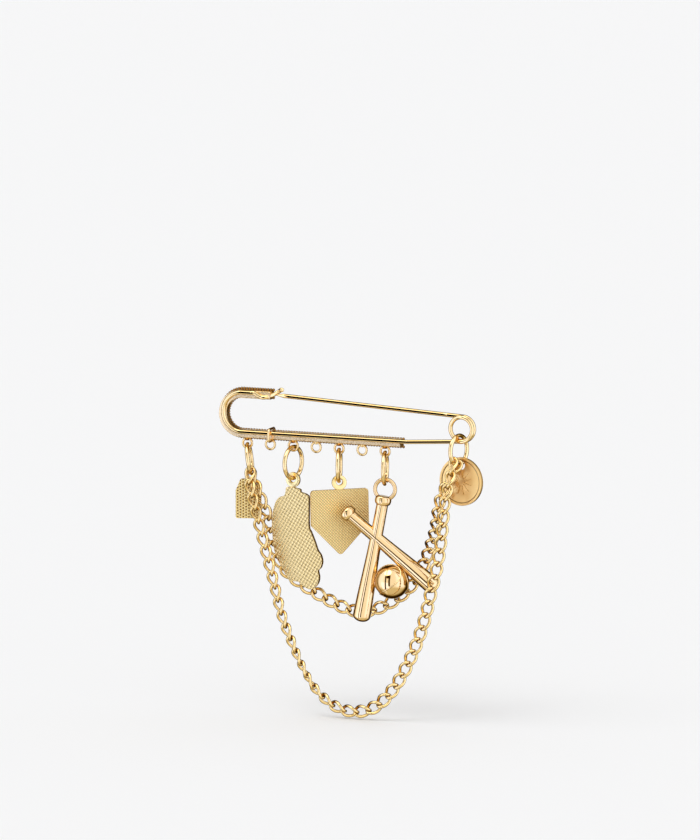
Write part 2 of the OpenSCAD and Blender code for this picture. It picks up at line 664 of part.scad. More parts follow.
pin_frame();
needle();
bar_ring();
chain_ring_left();
silhouette_ring();
plate_ring();
bats_ring();
chain_ring_right();
dimpled_charm();
silhouette_charm();
home_plate_charm();
crossed_bats_charm();
disc_charm();
outer_chain();
inner_chain();
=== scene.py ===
# Gold-plated safety pin brooch with charms and two slung curb chains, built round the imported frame.
# The sections follow the brooch as a bench worker puts it together, from the bent wire to the chains.
# Sizes are in millimetres, which MM turns to the frame's metres, and angles in degrees.
import bpy
import math
from mathutils import Euler, Matrix, Vector


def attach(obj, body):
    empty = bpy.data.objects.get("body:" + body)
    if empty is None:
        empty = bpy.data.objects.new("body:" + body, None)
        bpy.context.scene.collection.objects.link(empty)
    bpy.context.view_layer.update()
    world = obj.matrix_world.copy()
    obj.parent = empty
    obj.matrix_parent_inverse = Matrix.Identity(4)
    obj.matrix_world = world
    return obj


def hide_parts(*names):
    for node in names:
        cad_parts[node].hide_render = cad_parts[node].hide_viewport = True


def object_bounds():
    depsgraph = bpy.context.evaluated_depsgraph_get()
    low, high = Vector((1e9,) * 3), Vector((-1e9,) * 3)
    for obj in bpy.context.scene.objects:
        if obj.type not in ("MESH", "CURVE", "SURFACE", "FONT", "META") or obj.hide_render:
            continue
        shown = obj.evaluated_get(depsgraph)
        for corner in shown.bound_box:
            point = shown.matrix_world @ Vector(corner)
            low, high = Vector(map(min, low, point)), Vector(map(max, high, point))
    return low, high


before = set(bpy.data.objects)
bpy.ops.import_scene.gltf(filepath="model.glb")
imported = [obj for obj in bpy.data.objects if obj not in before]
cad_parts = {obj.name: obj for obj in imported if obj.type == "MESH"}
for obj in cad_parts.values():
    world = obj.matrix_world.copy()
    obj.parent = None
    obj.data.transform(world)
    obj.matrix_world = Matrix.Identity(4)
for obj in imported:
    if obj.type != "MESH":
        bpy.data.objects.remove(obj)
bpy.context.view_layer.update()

# PIN WIRE
# One length of hard brass wire, bent round a jig into the catch, the long U, the bar and one and a
# half turns of spring coil, then polished and plated with gold.
MM = 0.001
WIRE_D = 1.1
TURN_PITCH, COIL_TURNS, HALF_TURN_STEPS = 1.22, 1.5, 32
BEND_X, BEND_R = 28.4, 5.0
COIL_X, COIL_R, COIL_RISE = 31.0, 3.05, 0.85
TIP_X, TIP_HEIGHT, STUB_L = 19.6, 9.55, 4.2
COIL_TOP_H = COIL_RISE + 2 * COIL_R
SLOPE = (TIP_HEIGHT - COIL_TOP_H) / (COIL_X + TIP_X)
BAR_Y, BAR_Z = -COIL_TURNS * TURN_PITCH, -(COIL_TOP_H + SLOPE * COIL_X)
COIL_TOP = Vector((COIL_X, 0, BAR_Z + COIL_TOP_H))
TIP = Vector((-TIP_X, 0, BAR_Z + TIP_HEIGHT))
NEEDLE_DIR = (TIP - COIL_TOP).normalized()
ROOT = COIL_TOP + NEEDLE_DIR * STUB_L
STRIP_END_X = 14.5
# How far apart the rings of a straight stretch are, how far a bend's curve runs on into the straight,
# and how high the dome on the catch's end stands, as a share of a half ball
STRAIGHT_STEP, LEAD, DOME_SHARE = 1.5, 0.4, 0.6
# An edge that turns by more than this stays sharp
CREASE = math.radians(50)


def curve_through(points, steps, closed=False):
    """Points on a smooth line through the given ones."""
    p, n, line = [Vector(q) for q in points], len(points), []
    for i in range(n if closed else n - 1):
        near = [i - 1, i, i + 1, i + 2]
        a, b, c, d = [p[k % n] if closed else p[min(max(k, 0), n - 1)] for k in near]
        for k in range(steps):
            t = k / steps
            line.append(0.5 * (2 * b + (c - a) * t + (2 * a - 5 * b + 4 * c - d) * t * t
                               + (3 * b - a - 3 * c + d) * t ** 3))
    return line if closed else line + [p[-1]]


def arc(centre, radius, start, end, steps, plane="xz"):
    """Points on an arc that turns from X, or from Y in the plane "yz", towards Z."""
    line = []
    for k in range(steps + 1):
        a = math.radians(start + (end - start) * k / steps)
        u, v = radius * math.cos(a), radius * math.sin(a)
        line.append(Vector(centre) + Vector((u, 0, v) if plane == "xz" else (0, u, v)))
    return line


def straight(start, end):
    """Points between the ends of a straight stretch, close enough together for even shading."""
    n = max(2, round((end - start).length / STRAIGHT_STEP))
    return [start.lerp(end, k / n) for k in range(1, n)]


def alone(piece):
    """Makes a piece the only one selected."""
    bpy.ops.object.select_all(action="DESELECT")
    piece.select_set(True)
    bpy.context.view_layer.objects.active = piece


def wire(name, line, diameter, closed=False, sides=24):
    """Round wire bent along a line of points."""
    bpy.ops.object.select_all(action="DESELECT")
    bpy.ops.curve.primitive_bezier_curve_add()
    piece = bpy.context.object
    piece.name = name
    curve = piece.data
    curve.splines.clear()
    spline = curve.splines.new("POLY")
    spline.points.add(len(line) - 1)
    for point, place in zip(spline.points, line):
        point.co = (*(Vector(place) * MM), 1)
    spline.use_cyclic_u = closed
    curve.bevel_depth = diameter * MM / 2
    curve.bevel_resolution = sides // 2 - 2
    curve.use_fill_caps = not closed
    bpy.ops.object.convert(target="MESH")
    bpy.ops.object.shade_smooth_by_angle(angle=CREASE)
    return piece


def ball(diameter, segments, rings):
    """A smooth ball at the origin."""
    bpy.ops.object.select_all(action="DESELECT")
    bpy.ops.mesh.primitive_uv_sphere_add(segments=segments, ring_count=rings, radius=diameter / 2 * MM)
    bpy.ops.object.shade_smooth()
    return bpy.context.object


def join(name, parts):
    """Makes one piece of several."""
    alone(parts[0])
    for part in parts:
        part.select_set(True)
    bpy.ops.object.join()
    bpy.context.object.name = name
    return bpy.context.object


def srgb(code):
    """A hex colour as the linear values that a shader takes."""
    parts = [int(code[i:i + 2], 16) / 255 for i in (1, 3, 5)]
    return (*[v / 12.92 if v <= 0.04045 else ((v + 0.055) / 1.055) ** 2.4 for v in parts], 1)


def add(tree, kind, settings=(), links=()):
    """Adds a node, with its settings and with links into its sockets."""
    node = tree.nodes.new(kind)
    for key, value in dict(settings).items():
        if isinstance(key, str) and hasattr(node, key):
            setattr(node, key, value)
        else:
            node.inputs[key].default_value = value
    for key, source in dict(links).items():
        tree.links.new(source, node.inputs[key])
    return node


# The width of a worn patch, how many grains of bump lie along one of roughness, and the brown
# that is painted on thin metal where it turns away, as the dark reflection it would mirror there
PATCH_W, BUMP_GRAINS, PAINTED_EDGE_BROWN = 6, 6, "#4A2A0C"


def gold_plate(name, colour, worn, low, high, grain, bump, pit_shade="#8A5A20", edge=0.0):
    """Gold over brass: its colour, the colour where handling wore it, and its least and greatest
    roughness, which change over the width of a grain, with a bump of a given height. Struck hollows,
    which a piece marks with its relief attribute, are painted darker as shade. Thin metal takes a
    painted dark reflection where it turns away from the eye, by the share given as edge."""
    material = bpy.data.materials.new(name)
    material.use_nodes = True
    tree = material.node_tree
    tree.nodes.clear()
    place = add(tree, "ShaderNodeTexCoord").outputs["Object"]
    cloud = add(tree, "ShaderNodeTexNoise", {"Scale": 1 / (grain * MM), "Detail": 3.0}, {"Vector": place})
    patch = add(tree, "ShaderNodeTexNoise", {"Scale": 1 / (PATCH_W * MM), "Detail": 2.0}, {"Vector": place})
    rough = add(tree, "ShaderNodeMapRange", {"From Min": 0.3, "From Max": 0.7, "To Min": low,
                                            "To Max": high}, {"Value": cloud.outputs["Fac"]})
    tint = add(tree, "ShaderNodeMix", {"data_type": "RGBA", 6: srgb(colour), 7: srgb(worn)},
               {0: patch.outputs["Fac"]})
    # Painted shade: the relief attribute mixes the colour towards pit_shade in struck hollows
    depth = add(tree, "ShaderNodeAttribute", {"attribute_name": "relief"}).outputs["Fac"]
    tone = add(tree, "ShaderNodeMix", {"data_type": "RGBA", 7: srgb(pit_shade)}, {0: depth, 6: tint.outputs[2]})
    # Painted dark reflection: faces that turn away from the eye are mixed towards a brown, by the share
    # given as edge
    facing = add(tree, "ShaderNodeLayerWeight", {"Blend": 0.5}).outputs["Facing"]
    edge_shade_mask = add(tree, "ShaderNodeMapRange", {"From Min": 0.2, "From Max": 0.7, "To Max": edge},
                {"Value": facing})
    sides = add(tree, "ShaderNodeMix", {"data_type": "RGBA", 7: srgb(PAINTED_EDGE_BROWN)},
                {0: edge_shade_mask.outputs["Result"], 6: tone.outputs[2]})
    fine = add(tree, "ShaderNodeTexNoise", {"Scale": BUMP_GRAINS / (grain * MM), "Detail": 2.0},
               {"Vector": place})
    relief = add(tree, "ShaderNodeBump", {"Strength": 1.0, "Distance": bump * MM},
                 {"Height": fine.outputs["Fac"]})
    metal = add(tree, "ShaderNodeBsdfPrincipled", {"Metallic": 1.0},
                {"Base Color": sides.outputs[2], "Roughness": rough.outputs["Result"],
                 "Normal": relief.outputs["Normal"]})
    add(tree, "ShaderNodeOutputMaterial", (), {"Surface": metal.outputs["BSDF"]})
    return material


# Bright gold plate on polished wire: mirror-like, so it shows the studio as thin dark and pale lines, and a
# little painted dark reflection where it turns away
bright_gold = gold_plate("polished_gold_plate", "#FBDA96", "#F4CE86", 0.03, 0.06, 1.5, 0.0001, edge=0.25)


def finish(piece, material, body="pin"):
    """Gives a piece its material and the body it moves with."""
    piece.data.materials.clear()
    piece.data.materials.append(material)
    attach(piece, body)


# The catch starts level with the top of the U and dips a little. Its bends are places from the
# needle's tip, in wire thicknesses: it passes under the tip, climbs the far side and ends over it.
CATCH_L, CATCH_DIP = 5.8, 0.03
CATCH_BENDS = [(-3.27, -1.6, -0.45), (-1.73, -1.12, -0.38), (-0.68, 0.35, 0.13), (-0.02, 0.86, 0.56),
               (0.47, 0.91, 0.95), (0.86, 0.55, 1.2), (1.27, 0, 1.25)]
# From the strip's end the bar rises to the coil's foot: [share of the run, share of the rise]
RISE_SHAPE = [(0.052, 0.012), (0.155, 0.106), (0.858, 0.906), (0.948, 0.988)]
upper_z = BAR_Z + 2 * BEND_R
catch_start = Vector((TIP.x - CATCH_L, BAR_Y, upper_z))
catch = curve_through([catch_start - Vector((LEAD, 0, 0)), catch_start + Vector((LEAD, 0, -CATCH_DIP))]
                      + [TIP + WIRE_D * Vector(b) for b in CATCH_BENDS], 10)
bend = arc((-BEND_X, BAR_Y, BAR_Z + BEND_R), BEND_R, 90, 270, 48)
rise_start = Vector((STRIP_END_X + WIRE_D, BAR_Y, BAR_Z))
coil_foot = Vector((COIL_X, BAR_Y, BAR_Z + COIL_RISE))
run = coil_foot.x - rise_start.x
rise = curve_through([rise_start - Vector((LEAD, 0, 0))]
                     + [rise_start + Vector((s * run, 0, h * COIL_RISE)) for s, h in RISE_SHAPE]
                     + [coil_foot], 8)
coil = []
for k in range(1, round(2 * COIL_TURNS * HALF_TURN_STEPS) + 1):
    half_turns = k / HALF_TURN_STEPS
    a = math.pi * half_turns - math.pi / 2
    coil.append(Vector((COIL_X + COIL_R * math.cos(a), BAR_Y + half_turns * TURN_PITCH / 2,
                        coil_foot.z + COIL_R + COIL_R * math.sin(a))))
whole_line = catch[::-1] + straight(catch[0], bend[0]) + bend + straight(bend[-1], rise[0]) + rise
whole_line += coil + straight(coil[-1], ROOT) + [ROOT]
pin_wire = wire("pin_wire", whole_line, WIRE_D, sides=32)
dome = ball(WIRE_D, 32, 16)
dome.data.transform(Matrix.Translation(catch[-1] * MM)
                    @ (catch[-1] - catch[-2]).to_track_quat("Z", "Y").to_matrix().to_4x4()
                    @ Matrix.Diagonal((1, 1, DOME_SHARE, 1)))
pin_wire = join("pin_wire", [pin_wire, dome])
finish(pin_wire, bright_gold)

# ORNAMENTAL STRIP
# A cast strip soldered along the bar, round the U and part of the way back. Its back is left satin
# from casting, and a row of milled beads runs along each edge.
STRIP_W, STRIP_DEPTH, STRIP_DROP, STRIP_REACH, STRIP_SINK = 2.0, 2.5, 0.52, 0.4, 0.2
STRIP_TOP_X, STRIP_EDGE, STRIP_STEPS, TOP_STEPS, BEND_STEPS = 20.8, 0.22, 28, 5, 64
# The beads stand out a little from the strip's front and lie a little off its middle line
BEAD_D, BEAD_STEP, BEAD_OUT, BEAD_SHIFT = 0.76, 0.72, 0.16, 0.2
strip_y0 = BAR_Y + WIRE_D / 2 - STRIP_SINK
strip_y1 = strip_y0 + STRIP_DEPTH
strip_z = BAR_Z - STRIP_DROP
strip_left = -BEND_X - STRIP_REACH
strip_centre = Vector((strip_left, 0, strip_z + BEND_R))

# Satin gold on the cast strip's back: even and soft, so it stays a calm mid gold beside the wire
satin_gold = gold_plate("satin_gold_plate", "#FADB9E", "#F0C884", 0.22, 0.34, 0.5, 0.001)

# Gold of the beaded rows, painted darker than the wire as the shade and dark reflection along the strip's
# edges
painted_shade_bead_gold = gold_plate("bead_gold_painted_shade", "#B88A48", "#7C5628", 0.1, 0.16, 0.5, 0.0003, edge=1.0)


def extrude(move, steps=1):
    """Extrudes what is selected by a move, in even steps."""
    for k in range(steps):
        bpy.ops.mesh.extrude_region_move(TRANSFORM_OT_translate={"value": Vector(move) / steps * MM})


bpy.ops.object.select_all(action="DESELECT")
bpy.ops.mesh.primitive_plane_add(size=1)
strip = bpy.context.object
strip.name = "strip"
strip.matrix_world = (Matrix.Translation(Vector((STRIP_END_X, (strip_y0 + strip_y1) / 2, strip_z)) * MM)
                      @ Matrix.Rotation(math.radians(90), 4, "Y")
                      @ Matrix.Diagonal((STRIP_W * MM, STRIP_DEPTH * MM, 1, 1)))
bpy.ops.object.transform_apply(location=True, rotation=True, scale=True)
bpy.ops.object.mode_set(mode="EDIT")
bpy.ops.mesh.select_all(action="SELECT")
bpy.ops.mesh.bevel(offset=STRIP_EDGE * MM, segments=4, affect="VERTICES")
bpy.ops.mesh.select_all(action="SELECT")
extrude((strip_left - STRIP_END_X, 0, 0), STRIP_STEPS)
bpy.ops.mesh.spin(steps=BEND_STEPS, angle=math.radians(180), center=strip_centre * MM, axis=(0, -1, 0))
extrude((-STRIP_TOP_X - strip_left, 0, 0), TOP_STEPS)
bpy.ops.mesh.select_all(action="SELECT")
bpy.ops.mesh.remove_doubles(threshold=0.001 * MM)
bpy.ops.mesh.normals_make_consistent(inside=False)
bpy.ops.object.mode_set(mode="OBJECT")
bpy.ops.object.shade_smooth_by_angle(angle=CREASE)


def copies(name, model, places):
    """Copies of a model, each with its own mesh, joined into one piece; the model goes."""
    parts = []
    for place in places:
        part = model.copy()
        part.data = model.data.copy()
        part.data.transform(place)
        bpy.context.collection.objects.link(part)
        parts.append(part)
    bpy.data.objects.remove(model)
    return join(name, parts)


def along_strip(radius, y, step):
    """Places spaced evenly along the strip at a radius from its bend's middle."""
    bar_l, bend_l, top_l = STRIP_END_X - strip_left, math.pi * radius, -STRIP_TOP_X - strip_left
    length = bar_l + bend_l + top_l
    n = int(length / step)
    places = []
    for k in range(n + 1):
        s = length * k / n
        if s < bar_l:
            p = (STRIP_END_X - s, y, strip_centre.z - radius)
        elif s < bar_l + bend_l:
            a = (s - bar_l) / radius
            p = (strip_left - radius * math.sin(a), y, strip_centre.z - radius * math.cos(a))
        else:
            p = (strip_left + s - bar_l - bend_l, y, strip_centre.z + radius)
        places.append(Matrix.Translation(Vector(p) * MM))
    return places


bead_y = strip_y1 - BEAD_D / 2 + BEAD_OUT
bead_places = []
for side in (-1, 1):
    bead_places += along_strip(BEND_R + BEAD_SHIFT + side * STRIP_W / 2, bead_y, BEAD_STEP)
beads = copies("strip_beads", ball(BEAD_D, 10, 6), bead_places)
finish(strip, satin_gold)
finish(beads, painted_shade_bead_gold)

# CHARM LOOPS
# Seven small rings of thinner wire, each soldered by its top under the strip. Every second one carries
# a jump ring and has a broad saddle of solder, and the three between hang free.
LOOP_N, LOOP_PITCH, LOOP_X = 7, 6.24, 27.5
LOOP_WIRE_D, LOOP_W, LOOP_L, LOOP_SINK = 0.6, 3.05, 3.0, 0.3
SADDLE_TOP_R, SADDLE_FOOT_R, SADDLE_LAP, SADDLE_CREASE = 1.25, 0.55, 0.5, 60
loop_y = (strip_y0 + strip_y1) / 2
loop_r = (LOOP_W - LOOP_WIRE_D) / 2
loop_z = strip_z - STRIP_W / 2 - LOOP_L + LOOP_W / 2
loop_top = strip_z - STRIP_W / 2 + LOOP_SINK
saddle_h = loop_top - loop_z - loop_r + SADDLE_LAP
saddle_z = loop_top - saddle_h / 2


def loop_at(i):
    """The X of a loop, counted from the catch's end."""
    return -LOOP_X + i * LOOP_PITCH


def ring_line(centre, radius, points=48):
    """Points evenly round a closed ring that faces the wearer."""
    return arc(centre, radius, 0, 360 - 360 / points, points - 1)


loops = []
for i in range(LOOP_N):
    line = ring_line((loop_at(i), loop_y, loop_z), loop_r)
    loops.append(wire("loop", line, LOOP_WIRE_D, closed=True, sides=16))
    top_r, foot_r = (SADDLE_TOP_R, SADDLE_FOOT_R) if i % 2 == 0 else (LOOP_WIRE_D, LOOP_WIRE_D / 2)
    bpy.ops.mesh.primitive_cone_add(vertices=32, radius1=top_r * MM, radius2=foot_r * MM,
                                    depth=saddle_h * MM)
    saddle = bpy.context.object
    saddle.data.transform(Matrix.Translation(Vector((loop_at(i), loop_y, saddle_z)) * MM)
                          @ Matrix.Rotation(math.pi, 4, "X"))
    bpy.ops.object.shade_smooth_by_angle(angle=math.radians(SADDLE_CREASE))
    loops.append(saddle)
loops = join("charm_loops", loops)
finish(loops, bright_gold)
for piece in (pin_wire, strip, beads, loops):
    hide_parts("pin_frame")

# NEEDLE
# The free arm of the same wire, ground to a round taper and a dull point. It springs open from the
# coil and rests in the catch.
TAPER_L, TIP_D, NEEDLE_STEPS, TAPER_STEPS, TAPER_POWER = 2.2, 0.3, 30, 6, 1.3
needle = ball(WIRE_D, 32, 16)
needle.name = "needle_arm"
along = NEEDLE_DIR.to_track_quat("Z", "Y").to_matrix().to_4x4()
needle.matrix_world = Matrix.Translation(ROOT * MM) @ along
bpy.ops.object.transform_apply(location=True, rotation=True, scale=True)
shoulder = TIP - NEEDLE_DIR * TAPER_L
bpy.ops.object.mode_set(mode="EDIT")
bpy.ops.mesh.select_all(action="SELECT")
bpy.ops.mesh.bisect(plane_co=ROOT * MM, plane_no=NEEDLE_DIR, clear_outer=True, use_fill=False)
extrude(shoulder - ROOT, NEEDLE_STEPS)
widths = [WIRE_D + (TIP_D - WIRE_D) * (k / TAPER_STEPS) ** TAPER_POWER for k in range(TAPER_STEPS + 1)]
taper_step = NEEDLE_DIR * TAPER_L / TAPER_STEPS
for k in range(TAPER_STEPS):
    extrude(taper_step)
    bpy.ops.transform.resize(value=[widths[k + 1] / widths[k]] * 3,
                             center_override=(shoulder + taper_step * (k + 1)) * MM)
point = TIP + NEEDLE_DIR * TIP_D / 4
extrude(point - TIP)
bpy.ops.transform.resize(value=(0.5, 0.5, 0.5), center_override=point * MM)
bpy.ops.mesh.edge_face_add()
bpy.ops.mesh.select_all(action="SELECT")
bpy.ops.mesh.normals_make_consistent(inside=False)
bpy.ops.object.mode_set(mode="OBJECT")
bpy.ops.object.shade_smooth_by_angle(angle=CREASE)
finish(needle, bright_gold, "needle")
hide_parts("needle")

# SMALL RING ON THE BAR
# A closed ring of thin plated wire, squeezed round the bar and the strip behind it. Nothing else holds
# it, so it slides along them.
BAR_RING_X, BAR_RING_D, BAR_RING_BEND, BAR_RING_GAP, BAR_RING_TURN = 20.75, 0.6, 0.9, 0.25, 3
clear = BAR_RING_GAP + BAR_RING_D / 2
y0, y1 = BAR_Y - WIRE_D / 2 - clear, strip_y1 + clear
z0, z1 = strip_z - STRIP_W / 2 - clear, BAR_Z + WIRE_D / 2 + clear
reach_y, reach_z = (y1 - y0) / 2 - BAR_RING_BEND, (z1 - z0) / 2 - BAR_RING_BEND
line = []
for back, up, start in ((1, 1, 90), (1, -1, 0), (-1, -1, -90), (-1, 1, -180)):
    line += arc((0, back * reach_y, up * reach_z), BAR_RING_BEND, start, start - 90, 10, "yz")
turn = Matrix.Rotation(math.radians(BAR_RING_TURN), 4, "Z")
middle = Vector((-BAR_RING_X, (y0 + y1) / 2, (z0 + z1) / 2))
bar_ring = wire("small_bar_ring", [middle + turn @ p for p in line], BAR_RING_D, closed=True, sides=16)
finish(bar_ring, bright_gold)
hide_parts("bar_ring")

# JUMP RINGS
# Rings of the same wire as the pin, cut from a coil, hung in the loops and pressed shut, so that each
# keeps a hairline where its ends meet.
RING_WIRE_D, CHARM_RING_D, CHAIN_RING_D, RING_STEPS = 1.1, 9.0, 8.5, 96
HANG_GAP, END_GAP, SPLIT_GAP = 0.1, 0.3, 0.08
ring_top_z = loop_z - loop_r + LOOP_WIRE_D / 2 + RING_WIRE_D / 2 + HANG_GAP


def ring_r(d):
    """The radius of a ring's wire line, from its outer diameter."""
    return (d - RING_WIRE_D) / 2


def hung(at, turn, lean):
    """A hanging piece's place: turned about the vertical after it leans."""
    return (Matrix.Translation(at) @ Matrix.Rotation(math.radians(turn), 4, "Z")
            @ Matrix.Rotation(math.radians(lean), 4, "Y"))


def jump_ring(name, node, top, d, turn, lean, cut):
    """A jump ring that hangs from its top wire, cut open at an angle from its right side."""
    place = (hung(top, turn, lean) @ Matrix.Translation((0, 0, -ring_r(d)))
             @ Matrix.Rotation(math.pi / 2, 4, "Y"))
    half_cut = math.degrees(SPLIT_GAP / 2 / ring_r(d))
    line = []
    for k in range(RING_STEPS + 1):
        a = math.radians(cut + half_cut + (360 - 2 * half_cut) * k / RING_STEPS)
        line.append(place @ Vector((ring_r(d) * math.cos(a), ring_r(d) * math.sin(a), 0)))
    ring = wire(name, line, RING_WIRE_D, sides=28)
    finish(ring, bright_gold)
    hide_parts(node)


# Each charm's ring: [its loop, its turn, where it is cut]
CHARM_RINGS = {"silhouette_ring": (2, -10, 215), "plate_ring": (4, 18, 120), "bats_ring": (6, 16, 120)}
for node, (i, turn, cut) in CHARM_RINGS.items():
    top = Vector((loop_at(i), loop_y, ring_top_z))
    jump_ring(node + "_wire", node, top, CHARM_RING_D, turn, 0, cut)

# The rings that hold the chains' ends: the left one hangs in the first loop and leans with the pull,
# the right one hangs between two turns of the coil and sags a little between them
LEFT_TURN, LEFT_LEAN, LEFT_CUT, RIGHT_TURN, RIGHT_CUT, RIGHT_IN = 17, -8, 100, -11, 160, 0.7
left_top = Vector((loop_at(0), loop_y, ring_top_z))
inner_r = ring_r(CHAIN_RING_D) - WIRE_D / 2
right_sag = inner_r - math.sqrt(inner_r ** 2 - TURN_PITCH ** 2)
right_top = Vector((COIL_X - RIGHT_IN, BAR_Y + TURN_PITCH / 2,
                    coil_foot.z + WIRE_D / 2 + RING_WIRE_D / 2 + HANG_GAP + right_sag))
jump_ring("left_chain_ring_wire", "chain_ring_left", left_top, CHAIN_RING_D, LEFT_TURN, LEFT_LEAN, LEFT_CUT)
jump_ring("right_chain_ring_wire", "chain_ring_right", right_top, CHAIN_RING_D, RIGHT_TURN, 0, RIGHT_CUT)
# Where the charm, the inner chain and the outer chain hang on each, as angles from the ring's foot
LEFT_SWINGS, RIGHT_SWINGS = (22, -8, -34), (19, -6, -40)


def on_ring(top, turn, lean, swing):
    """A point on the wire of a ring that holds a chain's end."""
    r, a = ring_r(CHAIN_RING_D), math.radians(swing)
    return hung(top, turn, lean) @ Vector((0, r * math.sin(a), -r - r * math.cos(a)))


left_hung = [on_ring(left_top, LEFT_TURN, LEFT_LEAN, a) for a in LEFT_SWINGS]
right_hung = [on_ring(right_top, RIGHT_TURN, 0, a) for a in RIGHT_SWINGS]

# DIMPLED TAG
# A small stamped tag at the far left. Its back is struck with staggered round dimples, and it hangs
# by a round tab that is stamped with it.
PLATE_T, TAB_D, TAB_HOLE_D, EYE_D = 1.2, 3.8, 2.1, 1.7
DIMPLED_W, DIMPLED_H, DIMPLED_CORNER_R, DIMPLED_TURN = 6.5, 10.0, 0.5, 17
# Shares of its size: how far it hangs to the left, how wide its top is, how low its shoulders are
DIMPLED_SHIFT, DIMPLED_TOP, DIMPLED_SHOULDER = 0.13, 0.62, 0.3
DIMPLE_COLUMN, DIMPLE_ROW, DIMPLE_D, DIMPLE_DEPTH = 0.71, 0.73, 0.5, 0.22
DIMPLE_GRID, DIMPLE_SHADE = 0.08, 0.95
# Every plate's softened edge, the shallowest place of its struck back, and how fast the painted shade of the
# deep places fades upwards
PLATE_EDGE, EDGE_STEPS, STRUCK_LEAST, SHADE_POWER, STRUCK_CREASE = 0.16, 3, 0.02, 1.5, 60
# How squarely a face looks along Y to count as flat, and over how many steps of the grid each way the
# pattern's deepest place is looked for
FLAT_NORMAL, DEPTH_STEPS = 0.9, 20
tab_r, tab_wire_d, eye_up = (TAB_D + TAB_HOLE_D) / 4, (TAB_D - TAB_HOLE_D) / 2, (TAB_HOLE_D - EYE_D) / 2

# Pale satin plate of the stamped charms: whiter and softer than the wire, as struck metal is, with painted
# shade in the hollows of their struck backs
pale_gold = gold_plate("pale_satin_gold_plate", "#FFE192", "#F9D684", 0.2, 0.28, 0.8, 0.0004, "#7A4A14")


def tab_z(z, gap):
    """The height of a tab's middle that hangs with a gap on a ring's wire at a height."""
    return z + RING_WIRE_D / 2 + gap - TAB_HOLE_D / 2


def rounded(points, r, steps):
    """A polygon's outline with rounded corners; the points run clockwise."""
    n, line = len(points), []
    for i in range(n):
        b = Vector(points[i])
        u = (Vector(points[i - 1]) - b).normalized()
        v = (Vector(points[(i + 1) % n]) - b).normalized()
        half = u.angle(v) / 2
        c = b + (u + v).normalized() * r / math.sin(half)
        start, turn = math.atan2(-u.x, u.y), math.pi - 2 * half
        for k in range(steps + 1):
            a = start - turn * k / steps
            line.append(c + r * Vector((math.cos(a), math.sin(a))))
    return line


def select_faces(piece, wanted):
    """Selects, in edit mode, the faces whose normal passes a test."""
    bpy.ops.object.mode_set(mode="OBJECT")
    mesh = piece.data
    mesh.vertices.foreach_set("select", [False] * len(mesh.vertices))
    mesh.edges.foreach_set("select", [False] * len(mesh.edges))
    for face in mesh.polygons:
        face.select = wanted(face.normal)
    bpy.ops.object.mode_set(mode="EDIT")
    bpy.ops.mesh.select_mode(type="FACE")


def close_block(depth):
    """Thickens a flat sheet along Y, in edit mode, and turns its faces outwards."""
    bpy.ops.mesh.select_all(action="SELECT")
    extrude((0, depth, 0))
    bpy.ops.mesh.select_all(action="SELECT")
    bpy.ops.mesh.normals_make_consistent(inside=False)


def cut_with(piece, tool, operation):
    """Cuts a piece with another one, which goes."""
    cut = piece.modifiers.new("cut", "BOOLEAN")
    cut.operation, cut.object, cut.solver = operation, tool, "EXACT"
    alone(piece)
    bpy.ops.object.modifier_apply(modifier=cut.name)
    bpy.data.objects.remove(tool)


def plate(name, outline, pattern, grid, tone):
    """A flat charm in the plane y = 0: an outline with softened edges, whose back is struck with a
    pattern that gives a depth at each place, on a grid of that step. The block that cuts the back is
    1 mm wider and higher than the outline, and thicker than the plate."""
    xs, zs = [p[0] for p in outline], [p[1] for p in outline]
    wide, high = max(xs) - min(xs) + 1, max(zs) - min(zs) + 1
    middle = Vector(((max(xs) + min(xs)) / 2, -PLATE_T / 2, (max(zs) + min(zs)) / 2))
    bpy.ops.object.select_all(action="DESELECT")
    bpy.ops.mesh.primitive_grid_add(x_subdivisions=int(wide / grid), y_subdivisions=int(high / grid), size=1)
    block = bpy.context.object
    block.matrix_world = (Matrix.Translation(middle * MM) @ Matrix.Rotation(math.pi / 2, 4, "X")
                          @ Matrix.Diagonal((wide * MM, high * MM, 1, 1)))
    bpy.ops.object.transform_apply(location=True, rotation=True, scale=True)
    for v in block.data.vertices:
        v.co.y += pattern(v.co.x / MM, v.co.z / MM) * MM
    bpy.ops.object.mode_set(mode="EDIT")
    close_block(2 * PLATE_T)
    bpy.ops.object.mode_set(mode="OBJECT")
    bpy.ops.object.select_all(action="DESELECT")
    bpy.ops.mesh.primitive_circle_add(vertices=len(outline), radius=MM, fill_type="NGON")
    piece = bpy.context.object
    piece.name = name
    for v, p in zip(piece.data.vertices, outline):
        v.co = Vector((p[0], -(PLATE_T + STRUCK_LEAST) / 2, p[1])) * MM
    bpy.ops.object.mode_set(mode="EDIT")
    close_block(PLATE_T + STRUCK_LEAST / 2)
    select_faces(piece, lambda normal: abs(normal.y) > FLAT_NORMAL)
    bpy.ops.mesh.region_to_loop()
    bpy.ops.mesh.bevel(offset=PLATE_EDGE * MM, segments=EDGE_STEPS, affect="EDGES")
    bpy.ops.object.mode_set(mode="OBJECT")
    cut_with(piece, block, "INTERSECT")
    bpy.ops.object.shade_smooth_by_angle(angle=math.radians(STRUCK_CREASE))
    deepest = max(pattern(x * grid, z * grid) for x in range(DEPTH_STEPS) for z in range(DEPTH_STEPS))
    # Painted shade: deeper places of the struck back get a larger share of the darker pit colour
    relief = piece.data.attributes.new("relief", "FLOAT", "POINT")
    for v, mark in zip(piece.data.vertices, relief.data):
        depth = min(1, max(0, (v.co.y / MM + PLATE_T / 2) / deepest))
        mark.value = tone * depth ** SHADE_POWER if v.co.y < 0 else 0
    return piece


